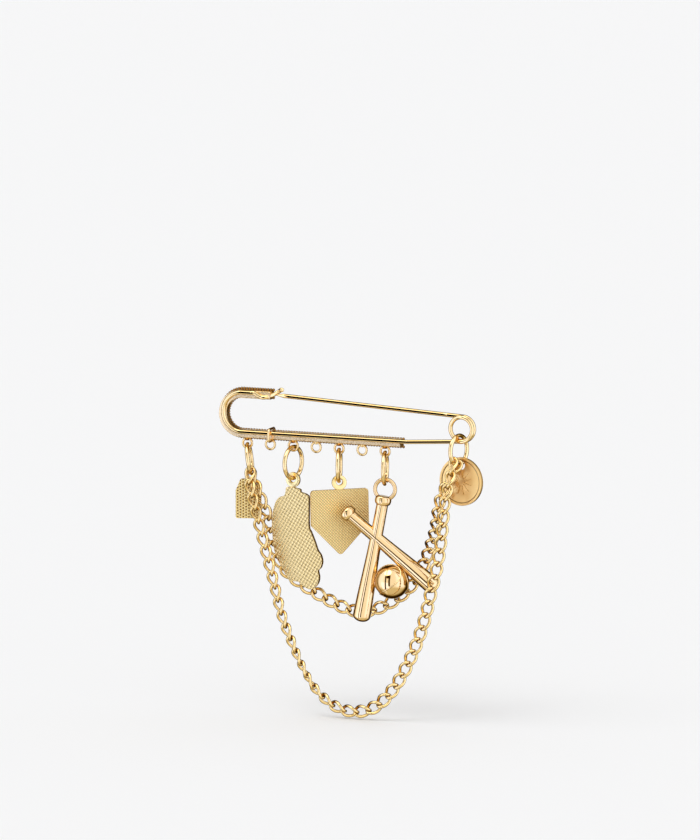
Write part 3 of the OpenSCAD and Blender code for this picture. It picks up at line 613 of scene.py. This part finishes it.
def tab():
    """The flat round eye that a charm hangs from, its hole a little above its middle."""
    middle = Vector((0, -tab_wire_d / 2, eye_up)) * MM
    bpy.ops.object.select_all(action="DESELECT")
    bpy.ops.mesh.primitive_circle_add(vertices=64, radius=EYE_D / 2 * MM, rotation=(math.pi / 2, 0, 0),
                                      location=middle)
    piece = bpy.context.object
    bpy.ops.object.transform_apply(location=True, rotation=True)
    bpy.ops.object.mode_set(mode="EDIT")
    bpy.ops.mesh.select_all(action="SELECT")
    bpy.ops.mesh.extrude_region_move()
    bpy.ops.transform.resize(value=[TAB_D / EYE_D] * 3, center_override=middle)
    bpy.ops.transform.translate(value=(0, 0, -eye_up * MM))
    close_block(tab_wire_d)
    bpy.ops.mesh.select_all(action="DESELECT")
    bpy.ops.mesh.edges_select_sharp(sharpness=CREASE)
    bpy.ops.mesh.bevel(offset=PLATE_EDGE * MM, segments=EDGE_STEPS, affect="EDGES")
    bpy.ops.object.mode_set(mode="OBJECT")
    bpy.ops.object.shade_smooth_by_angle(angle=CREASE)
    return piece


def hang(name, parts, at, turn, lean=0):
    """Joins a charm's parts and hangs it at its place."""
    piece = join(name, parts)
    piece.data.transform(hung(Vector(at) * MM, turn, lean))
    return piece


def dimples(x, z):
    """The tag's struck pattern: round dimples, each second column half a row lower."""
    column = round(x / DIMPLE_COLUMN)
    row = z / DIMPLE_ROW + 0.5 * (column % 2)
    away = math.hypot(x - column * DIMPLE_COLUMN, (row - round(row)) * DIMPLE_ROW) / (DIMPLE_D / 2)
    return STRUCK_LEAST + DIMPLE_DEPTH * math.sqrt(max(0, 1 - away ** 2))


top = -tab_r - tab_wire_d / 4
w, shoulder_z, mid = DIMPLED_W / 2, top - DIMPLED_SHOULDER * DIMPLED_H, -DIMPLED_SHIFT * DIMPLED_W
outline = [(mid - w, top - DIMPLED_H), (mid - w, shoulder_z), (mid - DIMPLED_TOP * w, top),
           (mid + DIMPLED_TOP * w, top), (mid + w, shoulder_z), (mid + w, top - DIMPLED_H)]
outline = rounded(outline, DIMPLED_CORNER_R, 6)
dimpled = plate("dimpled_tag", outline, dimples, DIMPLE_GRID, DIMPLE_SHADE)
dimpled = hang("dimpled_tag", [dimpled, tab()],
               (left_hung[0].x, left_hung[0].y, tab_z(left_hung[0].z, END_GAP)), DIMPLED_TURN)
finish(dimpled, pale_gold)
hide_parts("dimpled_charm")

# SILHOUETTE CHARM
# A flat charm with a wavy outline, stamped from brass sheet and plated. Its back carries the fine
# raised dots of the die's knurl, and it hangs from its ring by a round tab.
SILHOUETTE_W, SILHOUETTE_H, SILHOUETTE_TURN = 14.4, 26.6, -3
KNURL_STEP, KNURL_SLANT, KNURL_DEPTH, KNURL_POWER, KNURL_GRID, KNURL_SHADE = 0.8, -30, 0.14, 1.5, 0.12, 0.45
# From the top round by the right: [share of the width, share of the height]
SILHOUETTE = [
    (0.13, -0.028), (0.15, -0.056), (0.22, -0.065), (0.28, -0.081), (0.31, -0.116), (0.31, -0.371),
    (0.35, -0.428), (0.42, -0.513), (0.48, -0.598), (0.54, -0.64), (0.57, -0.705), (0.54, -0.764),
    (0.49, -0.794), (0.51, -0.852), (0.49, -0.911), (0.42, -0.956), (0.34, -0.977), (0.25, -0.962),
    (0.16, -0.935), (0.11, -0.911), (-0.05, -0.906), (-0.13, -0.857), (-0.22, -0.78),
    (-0.31, -0.696), (-0.36, -0.611), (-0.38, -0.537), (-0.4, -0.395), (-0.39, -0.284),
    (-0.36, -0.218), (-0.32, -0.158), (-0.25, -0.116), (-0.17, -0.102), (-0.14, -0.073), (-0.1, -0.014)]


def knurl(x, z):
    """Raised dots where two slanting waves meet."""
    a = math.radians(KNURL_SLANT)
    u, v = x * math.cos(a) + z * math.sin(a), z * math.cos(a) - x * math.sin(a)
    crown = (2 + math.cos(2 * math.pi * u / KNURL_STEP) + math.cos(2 * math.pi * v / KNURL_STEP)) / 4
    return STRUCK_LEAST + KNURL_DEPTH * (1 - crown ** KNURL_POWER)


shape = curve_through([(s[0] * SILHOUETTE_W, s[1] * SILHOUETTE_H, 0) for s in SILHOUETTE], 4, closed=True)
silhouette = plate("silhouette", [(p.x, p.y - tab_r) for p in shape], knurl, KNURL_GRID, KNURL_SHADE)
foot = ring_top_z - 2 * ring_r(CHARM_RING_D)
silhouette = hang("silhouette_plate", [silhouette, tab()], (loop_at(2), loop_y, tab_z(foot, HANG_GAP)),
                  SILHOUETTE_TURN)
finish(silhouette, pale_gold)
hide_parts("silhouette_charm")

# HOME PLATE CHARM
# A five-sided charm, stamped from brass sheet and plated. Its back shows the crossed lines of a
# file-cut die, ruled on the slant, and it hangs from its ring by a round tab.
HOME_W, HOME_H, HOME_SIDE, HOME_CORNER_R, HOME_TURN, HOME_LEAN = 14.8, 16.8, 9.0, 0.9, 36, -1
# The rising lines are struck less deep than the falling ones
LINE_STEP, LINE_DEPTH, RISING_SHARE, LINE_GRID, LINE_SHADE = 0.52, 0.12, 0.8, 0.09, 0.62


def crossed_lines(x, z):
    """Two sets of ruled grooves, each a step apart, that cross squarely."""
    falling, rising = [math.cos(math.pi * d / (math.sqrt(2) * LINE_STEP)) ** 2 for d in (x + z, x - z)]
    return STRUCK_LEAST + LINE_DEPTH * max(falling ** 2, RISING_SHARE * rising ** 2)


w = HOME_W / 2
outline = rounded([(-w, 0), (w, 0), (w, -HOME_SIDE), (0, -HOME_H), (-w, -HOME_SIDE)], HOME_CORNER_R, 8)
outline = [(p.x, p.y - tab_r - tab_wire_d / 4) for p in outline]
home = plate("home_plate", outline, crossed_lines, LINE_GRID, LINE_SHADE)
home = hang("home_plate", [home, tab()], (loop_at(4), loop_y, tab_z(foot, HANG_GAP)), HOME_TURN, HOME_LEAN)
finish(home, pale_gold)
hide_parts("home_plate_charm")

# CROSSED BATS AND BALL
# Cast in one piece from a lost-wax tree and polished: two bats that cross near their handles, a ball
# between them, and a round ring at the top of the upright bat.
BAT_RING_D, BAT_RING_WIRE_D, BAT_L, CROSS_L = 6.1, 1.0, 32.5, 30.4
BARREL_D, HANDLE_D, KNOB_D, KNOB_T, BAT_NOSE = 4.5, 3.0, 4.2, 2.2, 0.7
BAT_LEAN, CROSS_LEAN, CROSS_AT, CROSS_FROM, BATS_TURN = 10.5, 50.5, 10.7, 10.4, 12
BALL_D, SEAM_D, BALL_SINK, KNOB_LEFT, KNOB_SINK, SEAM_WAIST = 8.7, 0.36, 0.25, 0.3, 1.35, 0.44
BALL_TURNS, SEAM_STEPS = (20, 35, 10), 120
# The knob: its flat top's inner and outer radius, and the hollow where it meets the handle, as
# [how far out from the handle, how far up from the knob's foot]
KNOB_FLAT, KNOB_HOLLOW = (0.3, 0.9), [(0.05, 0.02), (0, -0.1)]
# The angles at which the knob's round edge and the barrel's nose are drawn
KNOB_ANGLES, NOSE_ANGLES = range(90, -79, -12), range(8, 81, 8)
# [share of the bat's length, share of the way from the handle's radius to the barrel's]
BAT_SHAPE = [(0.05, 0), (0.15, 0.02), (0.25, 0.05), (0.35, 0.09), (0.45, 0.2), (0.55, 0.36), (0.65, 0.55),
             (0.75, 0.75), (0.85, 0.91), (0.92, 0.98), (0.955, 1)]

# Polished cast gold plate: bright, a little paler than the wire because its faces are larger, with painted
# dark reflection where it turns away
cast_gold = gold_plate("polished_cast_gold_plate", "#F8D292", "#F0C680", 0.05, 0.09, 2.5, 0.0001, edge=0.5)


def turned(name, profile, sides):
    """A round piece drawn out of a disc along -Z, ring by ring, as on a lathe: [radius, z]."""
    bpy.ops.object.select_all(action="DESELECT")
    bpy.ops.mesh.primitive_circle_add(vertices=sides, radius=profile[0][0] * MM, fill_type="NGON",
                                      location=(0, 0, profile[0][1] * MM))
    piece = bpy.context.object
    piece.name = name
    bpy.ops.object.transform_apply(location=True)
    bpy.ops.object.mode_set(mode="EDIT")
    bpy.ops.mesh.select_all(action="SELECT")
    for (r0, z0), (r1, z1) in zip(profile, profile[1:]):
        extrude((0, 0, z1 - z0))
        bpy.ops.transform.resize(value=(r1 / r0, r1 / r0, 1), center_override=(0, 0, z1 * MM))
    bpy.ops.mesh.select_all(action="SELECT")
    bpy.ops.mesh.normals_make_consistent(inside=False)
    bpy.ops.object.mode_set(mode="OBJECT")
    bpy.ops.object.shade_smooth_by_angle(angle=CREASE)
    return piece


def bat(length):
    """A bat that hangs straight down from the top of its knob."""
    handle_r, barrel_r = HANDLE_D / 2, BARREL_D / 2
    knob = [(r, 0) for r in KNOB_FLAT]
    for a in map(math.radians, KNOB_ANGLES):
        knob.append((KNOB_D / 2 - KNOB_T / 4 * (1 - math.cos(a)), KNOB_T / 2 * (math.sin(a) - 1)))
    knob += [(handle_r + out, up - KNOB_T) for out, up in KNOB_HOLLOW]
    side = [(handle_r + s * (barrel_r - handle_r), -t * length) for t, s in BAT_SHAPE]
    nose = [(barrel_r * math.cos(a), -length + barrel_r * BAT_NOSE * (1 - math.sin(a)))
            for a in map(math.radians, NOSE_ANGLES)]
    return turned("bat", knob + side + nose, 64)


def seam_at(t, r):
    """A point of the seam of a ball of radius r, at an angle t of its round."""
    b, a = SEAM_WAIST, 1 - SEAM_WAIST
    return r * Vector((a * math.cos(t) + b * math.cos(3 * t), a * math.sin(t) - b * math.sin(3 * t),
                       2 * math.sqrt(a * b) * math.sin(2 * t)))


bat_ring_r = (BAT_RING_D - BAT_RING_WIRE_D) / 2
lean, cross = math.radians(BAT_LEAN), math.radians(CROSS_LEAN)
knob_at = Vector((-KNOB_LEFT, 0, -2 * bat_ring_r - BAT_RING_WIRE_D / 2 + KNOB_SINK))
down = Vector((-math.sin(lean), 0, -math.cos(lean)))
over = Vector((math.sin(cross), 0, -math.cos(cross)))
crossing = knob_at + down * CROSS_AT
ball_reach = (BALL_D / 2 + HANDLE_D / 4 + BARREL_D / 4 - BALL_SINK) / math.sin((lean + cross) / 2)
ball_at = crossing + ball_reach * (down + over).normalized()
upright = bat(BAT_L)
upright.data.transform(Matrix.Translation(knob_at * MM) @ Matrix.Rotation(lean, 4, "Y"))
crosswise = bat(CROSS_L)
crosswise.data.transform(Matrix.Translation((crossing - over * CROSS_FROM) * MM)
                         @ Matrix.Rotation(-cross, 4, "Y"))
baseball = ball(BALL_D, 64, 40)
seam_line = [seam_at(2 * math.pi * k / SEAM_STEPS, BALL_D / 2) for k in range(SEAM_STEPS)]
seam = wire("seam", seam_line, SEAM_D, closed=True, sides=10)
ball_turn = Euler([math.radians(a) for a in BALL_TURNS]).to_matrix().to_4x4()
for part in (baseball, seam):
    part.data.transform(Matrix.Translation(ball_at * MM) @ ball_turn)
eye = wire("eye", ring_line((0, 0, -bat_ring_r), bat_ring_r), BAT_RING_WIRE_D, closed=True, sides=20)
eye_z = foot + RING_WIRE_D / 2 + BAT_RING_WIRE_D / 2 + HANG_GAP
bats = hang("crossed_bats_and_ball", [upright, crosswise, baseball, seam, eye],
            (loop_at(6), loop_y, eye_z), BATS_TURN)
finish(bats, cast_gold)
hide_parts("crossed_bats_charm")

# DISC CHARM
# A struck disc with a raised rim on both faces, a hole drilled near its edge, and plain rays struck
# round the middle of its back.
DISC_D, DISC_T, DISC_HOLE_D, DISC_HOLE_IN, DISC_BEVEL, DISC_TURN = 12.2, 1.0, 2.4, 1.95, 0.15, -8
# The rim, with a soft shoulder to the field inside it
RIM_W, RIM_H, RIM_SHOULDER, BEVEL_MID = 0.55, 0.18, [(-0.03, 0.02), (0.05, 0)], 0.3
POLE_R, DISC_CREASE, FOOT_NEAR = 0.2, 20, 0.02
# The rays taper to a point outwards and narrow to their tops, and sink a little into the field
RAY_N, RAY_IN, RAY_OUT, RAY_W, RAY_H, RAY_TOP_SHARE, RAY_SINK = 12, 1.0, 3.3, 0.5, 0.15, 0.45, 0.1

# Struck gold of the disc: even and half matt, a little redder than the charms beside it, with a deep brown
# for the painted shade in its creases
struck_gold = gold_plate("struck_gold_plate", "#FCD07E", "#F4C46C", 0.36, 0.4, 4, 0.0001, "#4A2606")
disc_r, half_t = DISC_D / 2, DISC_T / 2
rim_r, field_z = disc_r - RIM_W, half_t - RIM_H
back = [(POLE_R, field_z), (rim_r - 2 * RIM_H, field_z), (rim_r - RIM_H, field_z)]
back += [(rim_r + out, half_t - drop) for out, drop in RIM_SHOULDER]
back += [(disc_r - DISC_BEVEL, half_t), (disc_r - DISC_BEVEL * BEVEL_MID, half_t - DISC_BEVEL * BEVEL_MID),
         (disc_r, half_t - DISC_BEVEL)]
disc = turned("disc", back + [(r, -z) for r, z in back[::-1]], 96)
rays = []
for k in range(RAY_N):
    bpy.ops.object.select_all(action="DESELECT")
    bpy.ops.mesh.primitive_cone_add(vertices=3, radius1=1, radius2=1, depth=1)
    ray = bpy.context.object
    for v in ray.data.vertices:
        top = v.co.z > 0
        out, across = (RAY_OUT, 0) if v.co.y > 0 else (RAY_IN, math.copysign(RAY_W / 2, v.co.x))
        across *= RAY_TOP_SHARE if top else 1
        v.co = Vector((out, across, field_z + (RAY_H if top else -RAY_SINK))) * MM
    ray.data.transform(Matrix.Rotation(math.radians((k + 0.5) * 360 / RAY_N), 4, "Z"))
    rays.append(ray)
middle_z = DISC_HOLE_IN - disc_r
for part in [disc] + rays:
    part.data.transform(Matrix.Translation((0, 0, middle_z * MM)) @ Matrix.Rotation(math.pi / 2, 4, "X"))
bpy.ops.object.select_all(action="DESELECT")
bpy.ops.mesh.primitive_cylinder_add(vertices=48, radius=DISC_HOLE_D / 2 * MM, depth=4 * DISC_T * MM,
                                    rotation=(math.pi / 2, 0, 0))
cut_with(disc, bpy.context.object, "DIFFERENCE")
disc = join("disc", [disc] + rays)
bpy.ops.object.shade_smooth_by_angle(angle=math.radians(DISC_CREASE))
# Painted shade: the creases at the rim's foot and at the rays' feet are marked to take the dark brown
relief = disc.data.attributes.new("relief", "FLOAT", "POINT")
for v, mark in zip(disc.data.vertices, relief.data):
    out, depth = math.hypot(v.co.x / MM, v.co.z / MM - middle_z), abs(v.co.y) / MM
    at_rim = abs(out - rim_r + RIM_H) < FOOT_NEAR
    at_ray = out < rim_r - RIM_H and depth < field_z - RAY_SINK / 2
    mark.value = 1 if at_rim or at_ray else 0
hole_z = right_hung[0].z + RING_WIRE_D / 2 + END_GAP - DISC_HOLE_D / 2
disc = hang("struck_disc", [disc], (right_hung[0].x, right_hung[0].y, hole_z), DISC_TURN)
finish(disc, struck_gold)
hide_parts("disc_charm")

# CURB CHAINS
# Machine-made curb chain: oval links of round wire, each twisted until it lies nearly flat on its
# neighbours. The outer chain and the shorter inner one are slung from ring to ring.
LINK_WIRE_D, LINK_L, LINK_W, LINK_PITCH, LINK_TWIST, LINK_STEPS = 0.62, 4.28, 2.72, 3.38, 96, 40
# The links' wire as it looks: it fills half of the clearance that the solid links keep
LINK_LOOK_D = 0.78
# How far a chain's line is drawn past its ends, and in how many steps between two points of its route
OVERRUN, ROUTE_STEPS = 1.5, 8

# Bright plate of the chain: tumbled, so a little softer than the wire, and painted dark, as the reflection
# it would mirror, where its links turn away
chain_gold = gold_plate("tumbled_gold_plate", "#FFDC90", "#F8CE7C", 0.12, 0.18, 1, 0.0002, edge=0.9)
# The routes that the slung chains take, from the left ring to the right one
OUTER_ROUTE = [
    (-26.0, -2.8, -20.6), (-24.4, -2.9, -27.3), (-22.7, -2.4, -34.2), (-20.7, -2.5, -41.2),
    (-19.1, -2.6, -47.0), (-17.2, -2.8, -53.9), (-14.5, -3.0, -60.4), (-11.2, -3.2, -67.0),
    (-6.9, -3.4, -73.1), (-0.3, -3.5, -77.1), (7.5, -3.6, -76.5), (13.1, -3.7, -71.7),
    (16.9, -3.8, -65.7), (20.0, -3.9, -59.2), (22.4, -4.0, -52.4), (23.9, -4.1, -46.2),
    (25.3, -4.1, -40.9), (26.2, -3.9, -35.7), (27.2, -4.4, -29.3), (28.2, -5.1, -22.6), (29.2, -4.9, -17.6)]
INNER_ROUTE = [
    (-24.5, -1.4, -22.6), (-23.0, -0.9, -26.5), (-22.5, 0.8, -30.0), (-22.3, 1.8, -33.6),
    (-21.3, 2.3, -38.5), (-18.8, 2.6, -43.4), (-14.1, 2.9, -46.8), (-9.0, 3.3, -49.6), (-3.0, 3.8, -52.4),
    (1.8, 4.3, -53.3), (6.4, 4.9, -52.0), (10.9, 5.6, -49.4), (15.5, 5.6, -45.0), (19.3, 4.3, -38.4),
    (21.6, 2.4, -33.9), (23.5, 0.4, -30.1), (24.8, -1.6, -25.6), (26.4, -2.3, -20.6)]
# How the links roll about the chain: [share of the way, angle]
OUTER_ROLL = [(0, 25), (0.15, 18), (0.3, 38), (0.38, 62), (0.46, 28), (0.52, 5), (0.7, 10), (0.88, 0),
              (1, -48)]
INNER_ROLL = [(0, 25), (0.12, 8), (0.3, 0), (0.6, 0), (0.75, 10), (0.84, 0), (1, -48)]


def between(table, s):
    """The value at s in a table of [place, value], where the value may be a point."""
    for (s0, v0), (s1, v1) in zip(table, table[1:]):
        if s <= s1:
            return v0 + (v1 - v0) * ((s - s0) / (s1 - s0))
    return table[-1][1]


def chain(name, start, route, end, rolls):
    """A slung curb chain, its links spread evenly from one ring's wire to the other's."""
    route = [Vector(p) for p in route]
    path = curve_through([start + OVERRUN * (start - route[0]).normalized(), start] + route
                         + [end, end + OVERRUN * (end - route[-1]).normalized()], ROUTE_STEPS)
    at = [0.0]
    for a, b in zip(path, path[1:]):
        at.append(at[-1] + (b - a).length)
    line = list(zip(at, path))
    first = (LINK_L - RING_WIRE_D - LINK_WIRE_D) / 2 - END_GAP - LINK_PITCH / 2
    begin = at[ROUTE_STEPS] + first
    run = at[-1 - ROUTE_STEPS] - first - begin
    count = round(run / LINK_PITCH)
    oval = []
    for k in range(LINK_STEPS):
        t = 2 * math.pi * k / LINK_STEPS
        x, r = LINK_L / 2 * math.cos(t), LINK_W / 2 * math.sin(t)
        turn = math.radians(LINK_TWIST) / 2 * math.cos(t)
        oval.append((x, r * math.cos(turn), r * math.sin(turn)))
    link = wire("link", oval, LINK_LOOK_D, closed=True, sides=12)
    places = []
    for i in range(count):
        a, b = between(line, begin + i * run / count), between(line, begin + (i + 1) * run / count)
        along = (b - a).normalized()
        back = (Vector((0, 1, 0)) - along * along.y).normalized()
        unrolled = Matrix((along, back.cross(along), back)).transposed().to_4x4()
        roll = Matrix.Rotation(math.radians(between(rolls, (i + 0.5) / count)), 4, "X")
        places.append(Matrix.Translation((a + b) / 2 * MM) @ unrolled @ roll)
    return copies(name, link, places)


outer = chain("outer_curb_chain", left_hung[2], OUTER_ROUTE, right_hung[2], OUTER_ROLL)
inner = chain("inner_curb_chain", left_hung[1], INNER_ROUTE, right_hung[1], INNER_ROLL)
for piece, node in ((outer, "outer_chain"), (inner, "inner_chain")):
    finish(piece, chain_gold)
    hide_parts(node)

# STUDIO
# A pale table under a bright tent. Black cards stand outside the picture, as they do for jewellery,
# and give the polished wire its dark lines.
# From where the picture is taken, its height in pixels, how wide a pixel is at the brooch, and the place
# in its middle
AZIMUTH, ELEVATION, FRAME_H, PIXEL, LENS = 23, 8.3, 840, 0.25, 1000
AIM = Vector((1.09, BAR_Y, -3.89))
TABLE_R, TABLE_GAP = 12000, 0.3
table_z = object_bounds()[0].z - TABLE_GAP * MM
bpy.ops.object.select_all(action="DESELECT")
bpy.ops.mesh.primitive_circle_add(vertices=128, radius=TABLE_R * MM, fill_type="NGON",
                                  location=(0, 0, table_z))
table = bpy.context.object
table.name = "table"
bpy.ops.object.transform_apply(location=True)

# Matt white board: it takes a soft shadow, and next to no shine
white_board = bpy.data.materials.new("matt_white_board")
white_board.use_nodes = True
tree = white_board.node_tree
tree.nodes.clear()
coat = add(tree, "ShaderNodeBsdfPrincipled",
           {"Base Color": srgb("#F4F4F4"), "Roughness": 0.9, "Specular IOR Level": 0.1})
add(tree, "ShaderNodeOutputMaterial", (), {"Surface": coat.outputs["BSDF"]})
table.data.materials.append(white_board)
table.visible_glossy = False

# What the polished metal mirrors, as patches of light on the sky, later ones over earlier ones:
# [azimuth, elevation, half width, half height, soft edge, brightness]. The first three are the tent's
# sides and roof, then come the table, a lamp behind the cloth, and a black card on its stand.
TENT_LEVEL = 1.1
TENT = [
    (-70, 0, 34, 75, 24, 1.3),
    (88, 5, 36, 75, 24, 1.35),
    (0, 90, 180, 32, 16, 1.12),
    (0, -62, 180, 32, 20, 0.75),
    (-25, -20, 30, 20, 10, 1.5),
    (3, 8, 6, 32, 3, 0.03),
    (-12, 38, 22, 11, 5, 0.03)]
# Long cards over the camera, square to the pin, a grey one and a black one on it: [share of X, angle
# about X, half share, half angle, soft share, soft angle, brightness]
CARDS = [(-0.38, 0, 0.085, 125, 0.03, 3, 1.0), (-0.38, 21, 0.07, 78, 0.03, 3, 0.0)]
# Past the tent's rim, between the first two angles from the camera, the room grows dark, and between
# the others, right behind the brooch, it grows pale again
RIM_FRONT, RIM_BACK, RIM_DARK = (94, 120), (166, 150), 0.05
# A dim light is warmer, so gold that mirrors it is browner: [factor, power]
GREEN_FALL, BLUE_FALL = (1.06, 1.25), (1.22, 2.2)
world = bpy.data.worlds.new("tent")
bpy.context.scene.world = world
world.use_nodes = True
tree = world.node_tree
tree.nodes.clear()
ray = add(tree, "ShaderNodeTexCoord").outputs["Generated"]
axes = add(tree, "ShaderNodeSeparateXYZ", (), {0: ray}).outputs
ahead = add(tree, "ShaderNodeMath", {"operation": "MULTIPLY", 1: -1}, {0: axes[1]}).outputs[0]
azimuth = add(tree, "ShaderNodeMath", {"operation": "ARCTAN2"}, {0: axes[0], 1: ahead}).outputs[0]
elevation = add(tree, "ShaderNodeMath", {"operation": "ARCSINE"}, {0: axes[2]}).outputs[0]
about_x = add(tree, "ShaderNodeMath", {"operation": "ARCTAN2"}, {0: axes[2], 1: ahead}).outputs[0]


def fade(measure, near, far, least=0.0):
    """A value that falls softly from 1 to the least as a measure goes from near to far."""
    settings = {"interpolation_type": "SMOOTHSTEP", "From Min": far, "From Max": near, "To Min": least}
    return add(tree, "ShaderNodeMapRange", settings, {"Value": measure}).outputs[0]


def patch(light, spans, level):
    """Lays a patch of one brightness over the light so far. Each of its two spans is a measure of the
    direction, the patch's middle, its half width and how wide its edge is."""
    masks = []
    for measure, middle, half, soft in spans:
        offset = add(tree, "ShaderNodeMath", {"operation": "SUBTRACT", 1: middle}, {0: measure}).outputs[0]
        away = add(tree, "ShaderNodeMath", {"operation": "ABSOLUTE"}, {0: offset}).outputs[0]
        masks.append(fade(away, half - soft / 2, half + soft / 2))
    mask = add(tree, "ShaderNodeMath", {"operation": "MULTIPLY"}, dict(enumerate(masks))).outputs[0]
    return add(tree, "ShaderNodeMix", {"data_type": "FLOAT", 3: level}, {0: mask, 2: light}).outputs[0]


def toward(azimuth, elevation):
    """The direction from the brooch to a place in the studio; azimuth 0 is straight in front."""
    a, e = math.radians(azimuth), math.radians(elevation)
    return Vector((math.sin(a) * math.cos(e), -math.cos(a) * math.cos(e), math.sin(e)))


light = add(tree, "ShaderNodeValue").outputs[0]
light.default_value = TENT_LEVEL
for *angles, level in TENT:
    az, el, wide, tall, soft = map(math.radians, angles)
    light = patch(light, [(azimuth, az, wide, soft), (elevation, el, tall, soft)], level)
for share, angle, half_share, half_angle, soft_share, soft_angle, level in CARDS:
    angle, half_angle, soft_angle = map(math.radians, (angle, half_angle, soft_angle))
    spans = [(axes[0], share, half_share, soft_share), (about_x, angle, half_angle, soft_angle)]
    light = patch(light, spans, level)
facing = add(tree, "ShaderNodeVectorMath", {"operation": "DOT_PRODUCT", 1: toward(AZIMUTH, ELEVATION)},
             {0: ray}).outputs["Value"]
turned_away = add(tree, "ShaderNodeMath", {"operation": "ARCCOSINE"}, {0: facing}).outputs[0]
rims = []
for near, far in (RIM_FRONT, RIM_BACK):
    rims.append(fade(turned_away, math.radians(near), math.radians(far), RIM_DARK))
rim = add(tree, "ShaderNodeMath", {"operation": "MAXIMUM"}, dict(enumerate(rims))).outputs[0]
light = add(tree, "ShaderNodeMath", {"operation": "MULTIPLY"}, {0: light, 1: rim}).outputs[0]
shades = [light]
for factor, power in (GREEN_FALL, BLUE_FALL):
    fallen = add(tree, "ShaderNodeMath", {"operation": "POWER", 1: power}, {0: light}).outputs[0]
    shades.append(add(tree, "ShaderNodeMath", {"operation": "MULTIPLY", 1: factor}, {0: fallen}).outputs[0])
warm = add(tree, "ShaderNodeCombineColor", (), dict(enumerate(shades))).outputs[0]

# Matt faces and the board are lit by an even white tent, the camera sees the pale backdrop, and only
# the metal mirrors the patches
TENT_LIGHT, BACKDROP = 0.805, "#F5F5F5"
kind = add(tree, "ShaderNodeLightPath").outputs
lit = add(tree, "ShaderNodeBackground", {"Color": srgb("#FFFFFF"), "Strength": TENT_LIGHT}).outputs[0]
mirrored = add(tree, "ShaderNodeBackground", {"Strength": 1.0}, {"Color": warm}).outputs[0]
seen = add(tree, "ShaderNodeBackground", {"Color": srgb(BACKDROP), "Strength": 1.0}).outputs[0]
unseen = add(tree, "ShaderNodeMixShader", (), {0: kind["Is Glossy Ray"], 1: lit, 2: mirrored}).outputs[0]
both = add(tree, "ShaderNodeMixShader", (), {0: kind["Is Camera Ray"], 1: unseen, 2: seen}).outputs[0]
add(tree, "ShaderNodeOutputWorld", (), {"Surface": both})

# The softbox over the brooch's left, which gives the board its soft shadow
SOFTBOX_POWER, SOFTBOX_WIDTH, SOFTBOX_AT = 0.81, 40, (-35, 62)
bpy.ops.object.light_add(type="SUN")
softbox = bpy.context.object
softbox.name = "overhead_softbox"
softbox.data.energy, softbox.data.angle = SOFTBOX_POWER, math.radians(SOFTBOX_WIDTH)
softbox.matrix_world = toward(*SOFTBOX_AT).to_track_quat("Z", "Y").to_matrix().to_4x4()

# The camera, far off with a long lens, so that it looks straight on as the photo does
CLIP_NEAR, CLIP_FAR = 0.05, 60
bpy.ops.object.camera_add()
camera = bpy.context.object
camera.data.lens = LENS
distance = LENS / camera.data.sensor_width * PIXEL * FRAME_H * MM
sight = toward(AZIMUTH, ELEVATION)
camera.matrix_world = (Matrix.Translation(AIM * MM + sight * distance)
                       @ sight.to_track_quat("Z", "Y").to_matrix().to_4x4())
camera.data.clip_start, camera.data.clip_end = CLIP_NEAR, CLIP_FAR
bpy.context.scene.camera = camera
bpy.context.scene.view_settings.view_transform = "Standard"
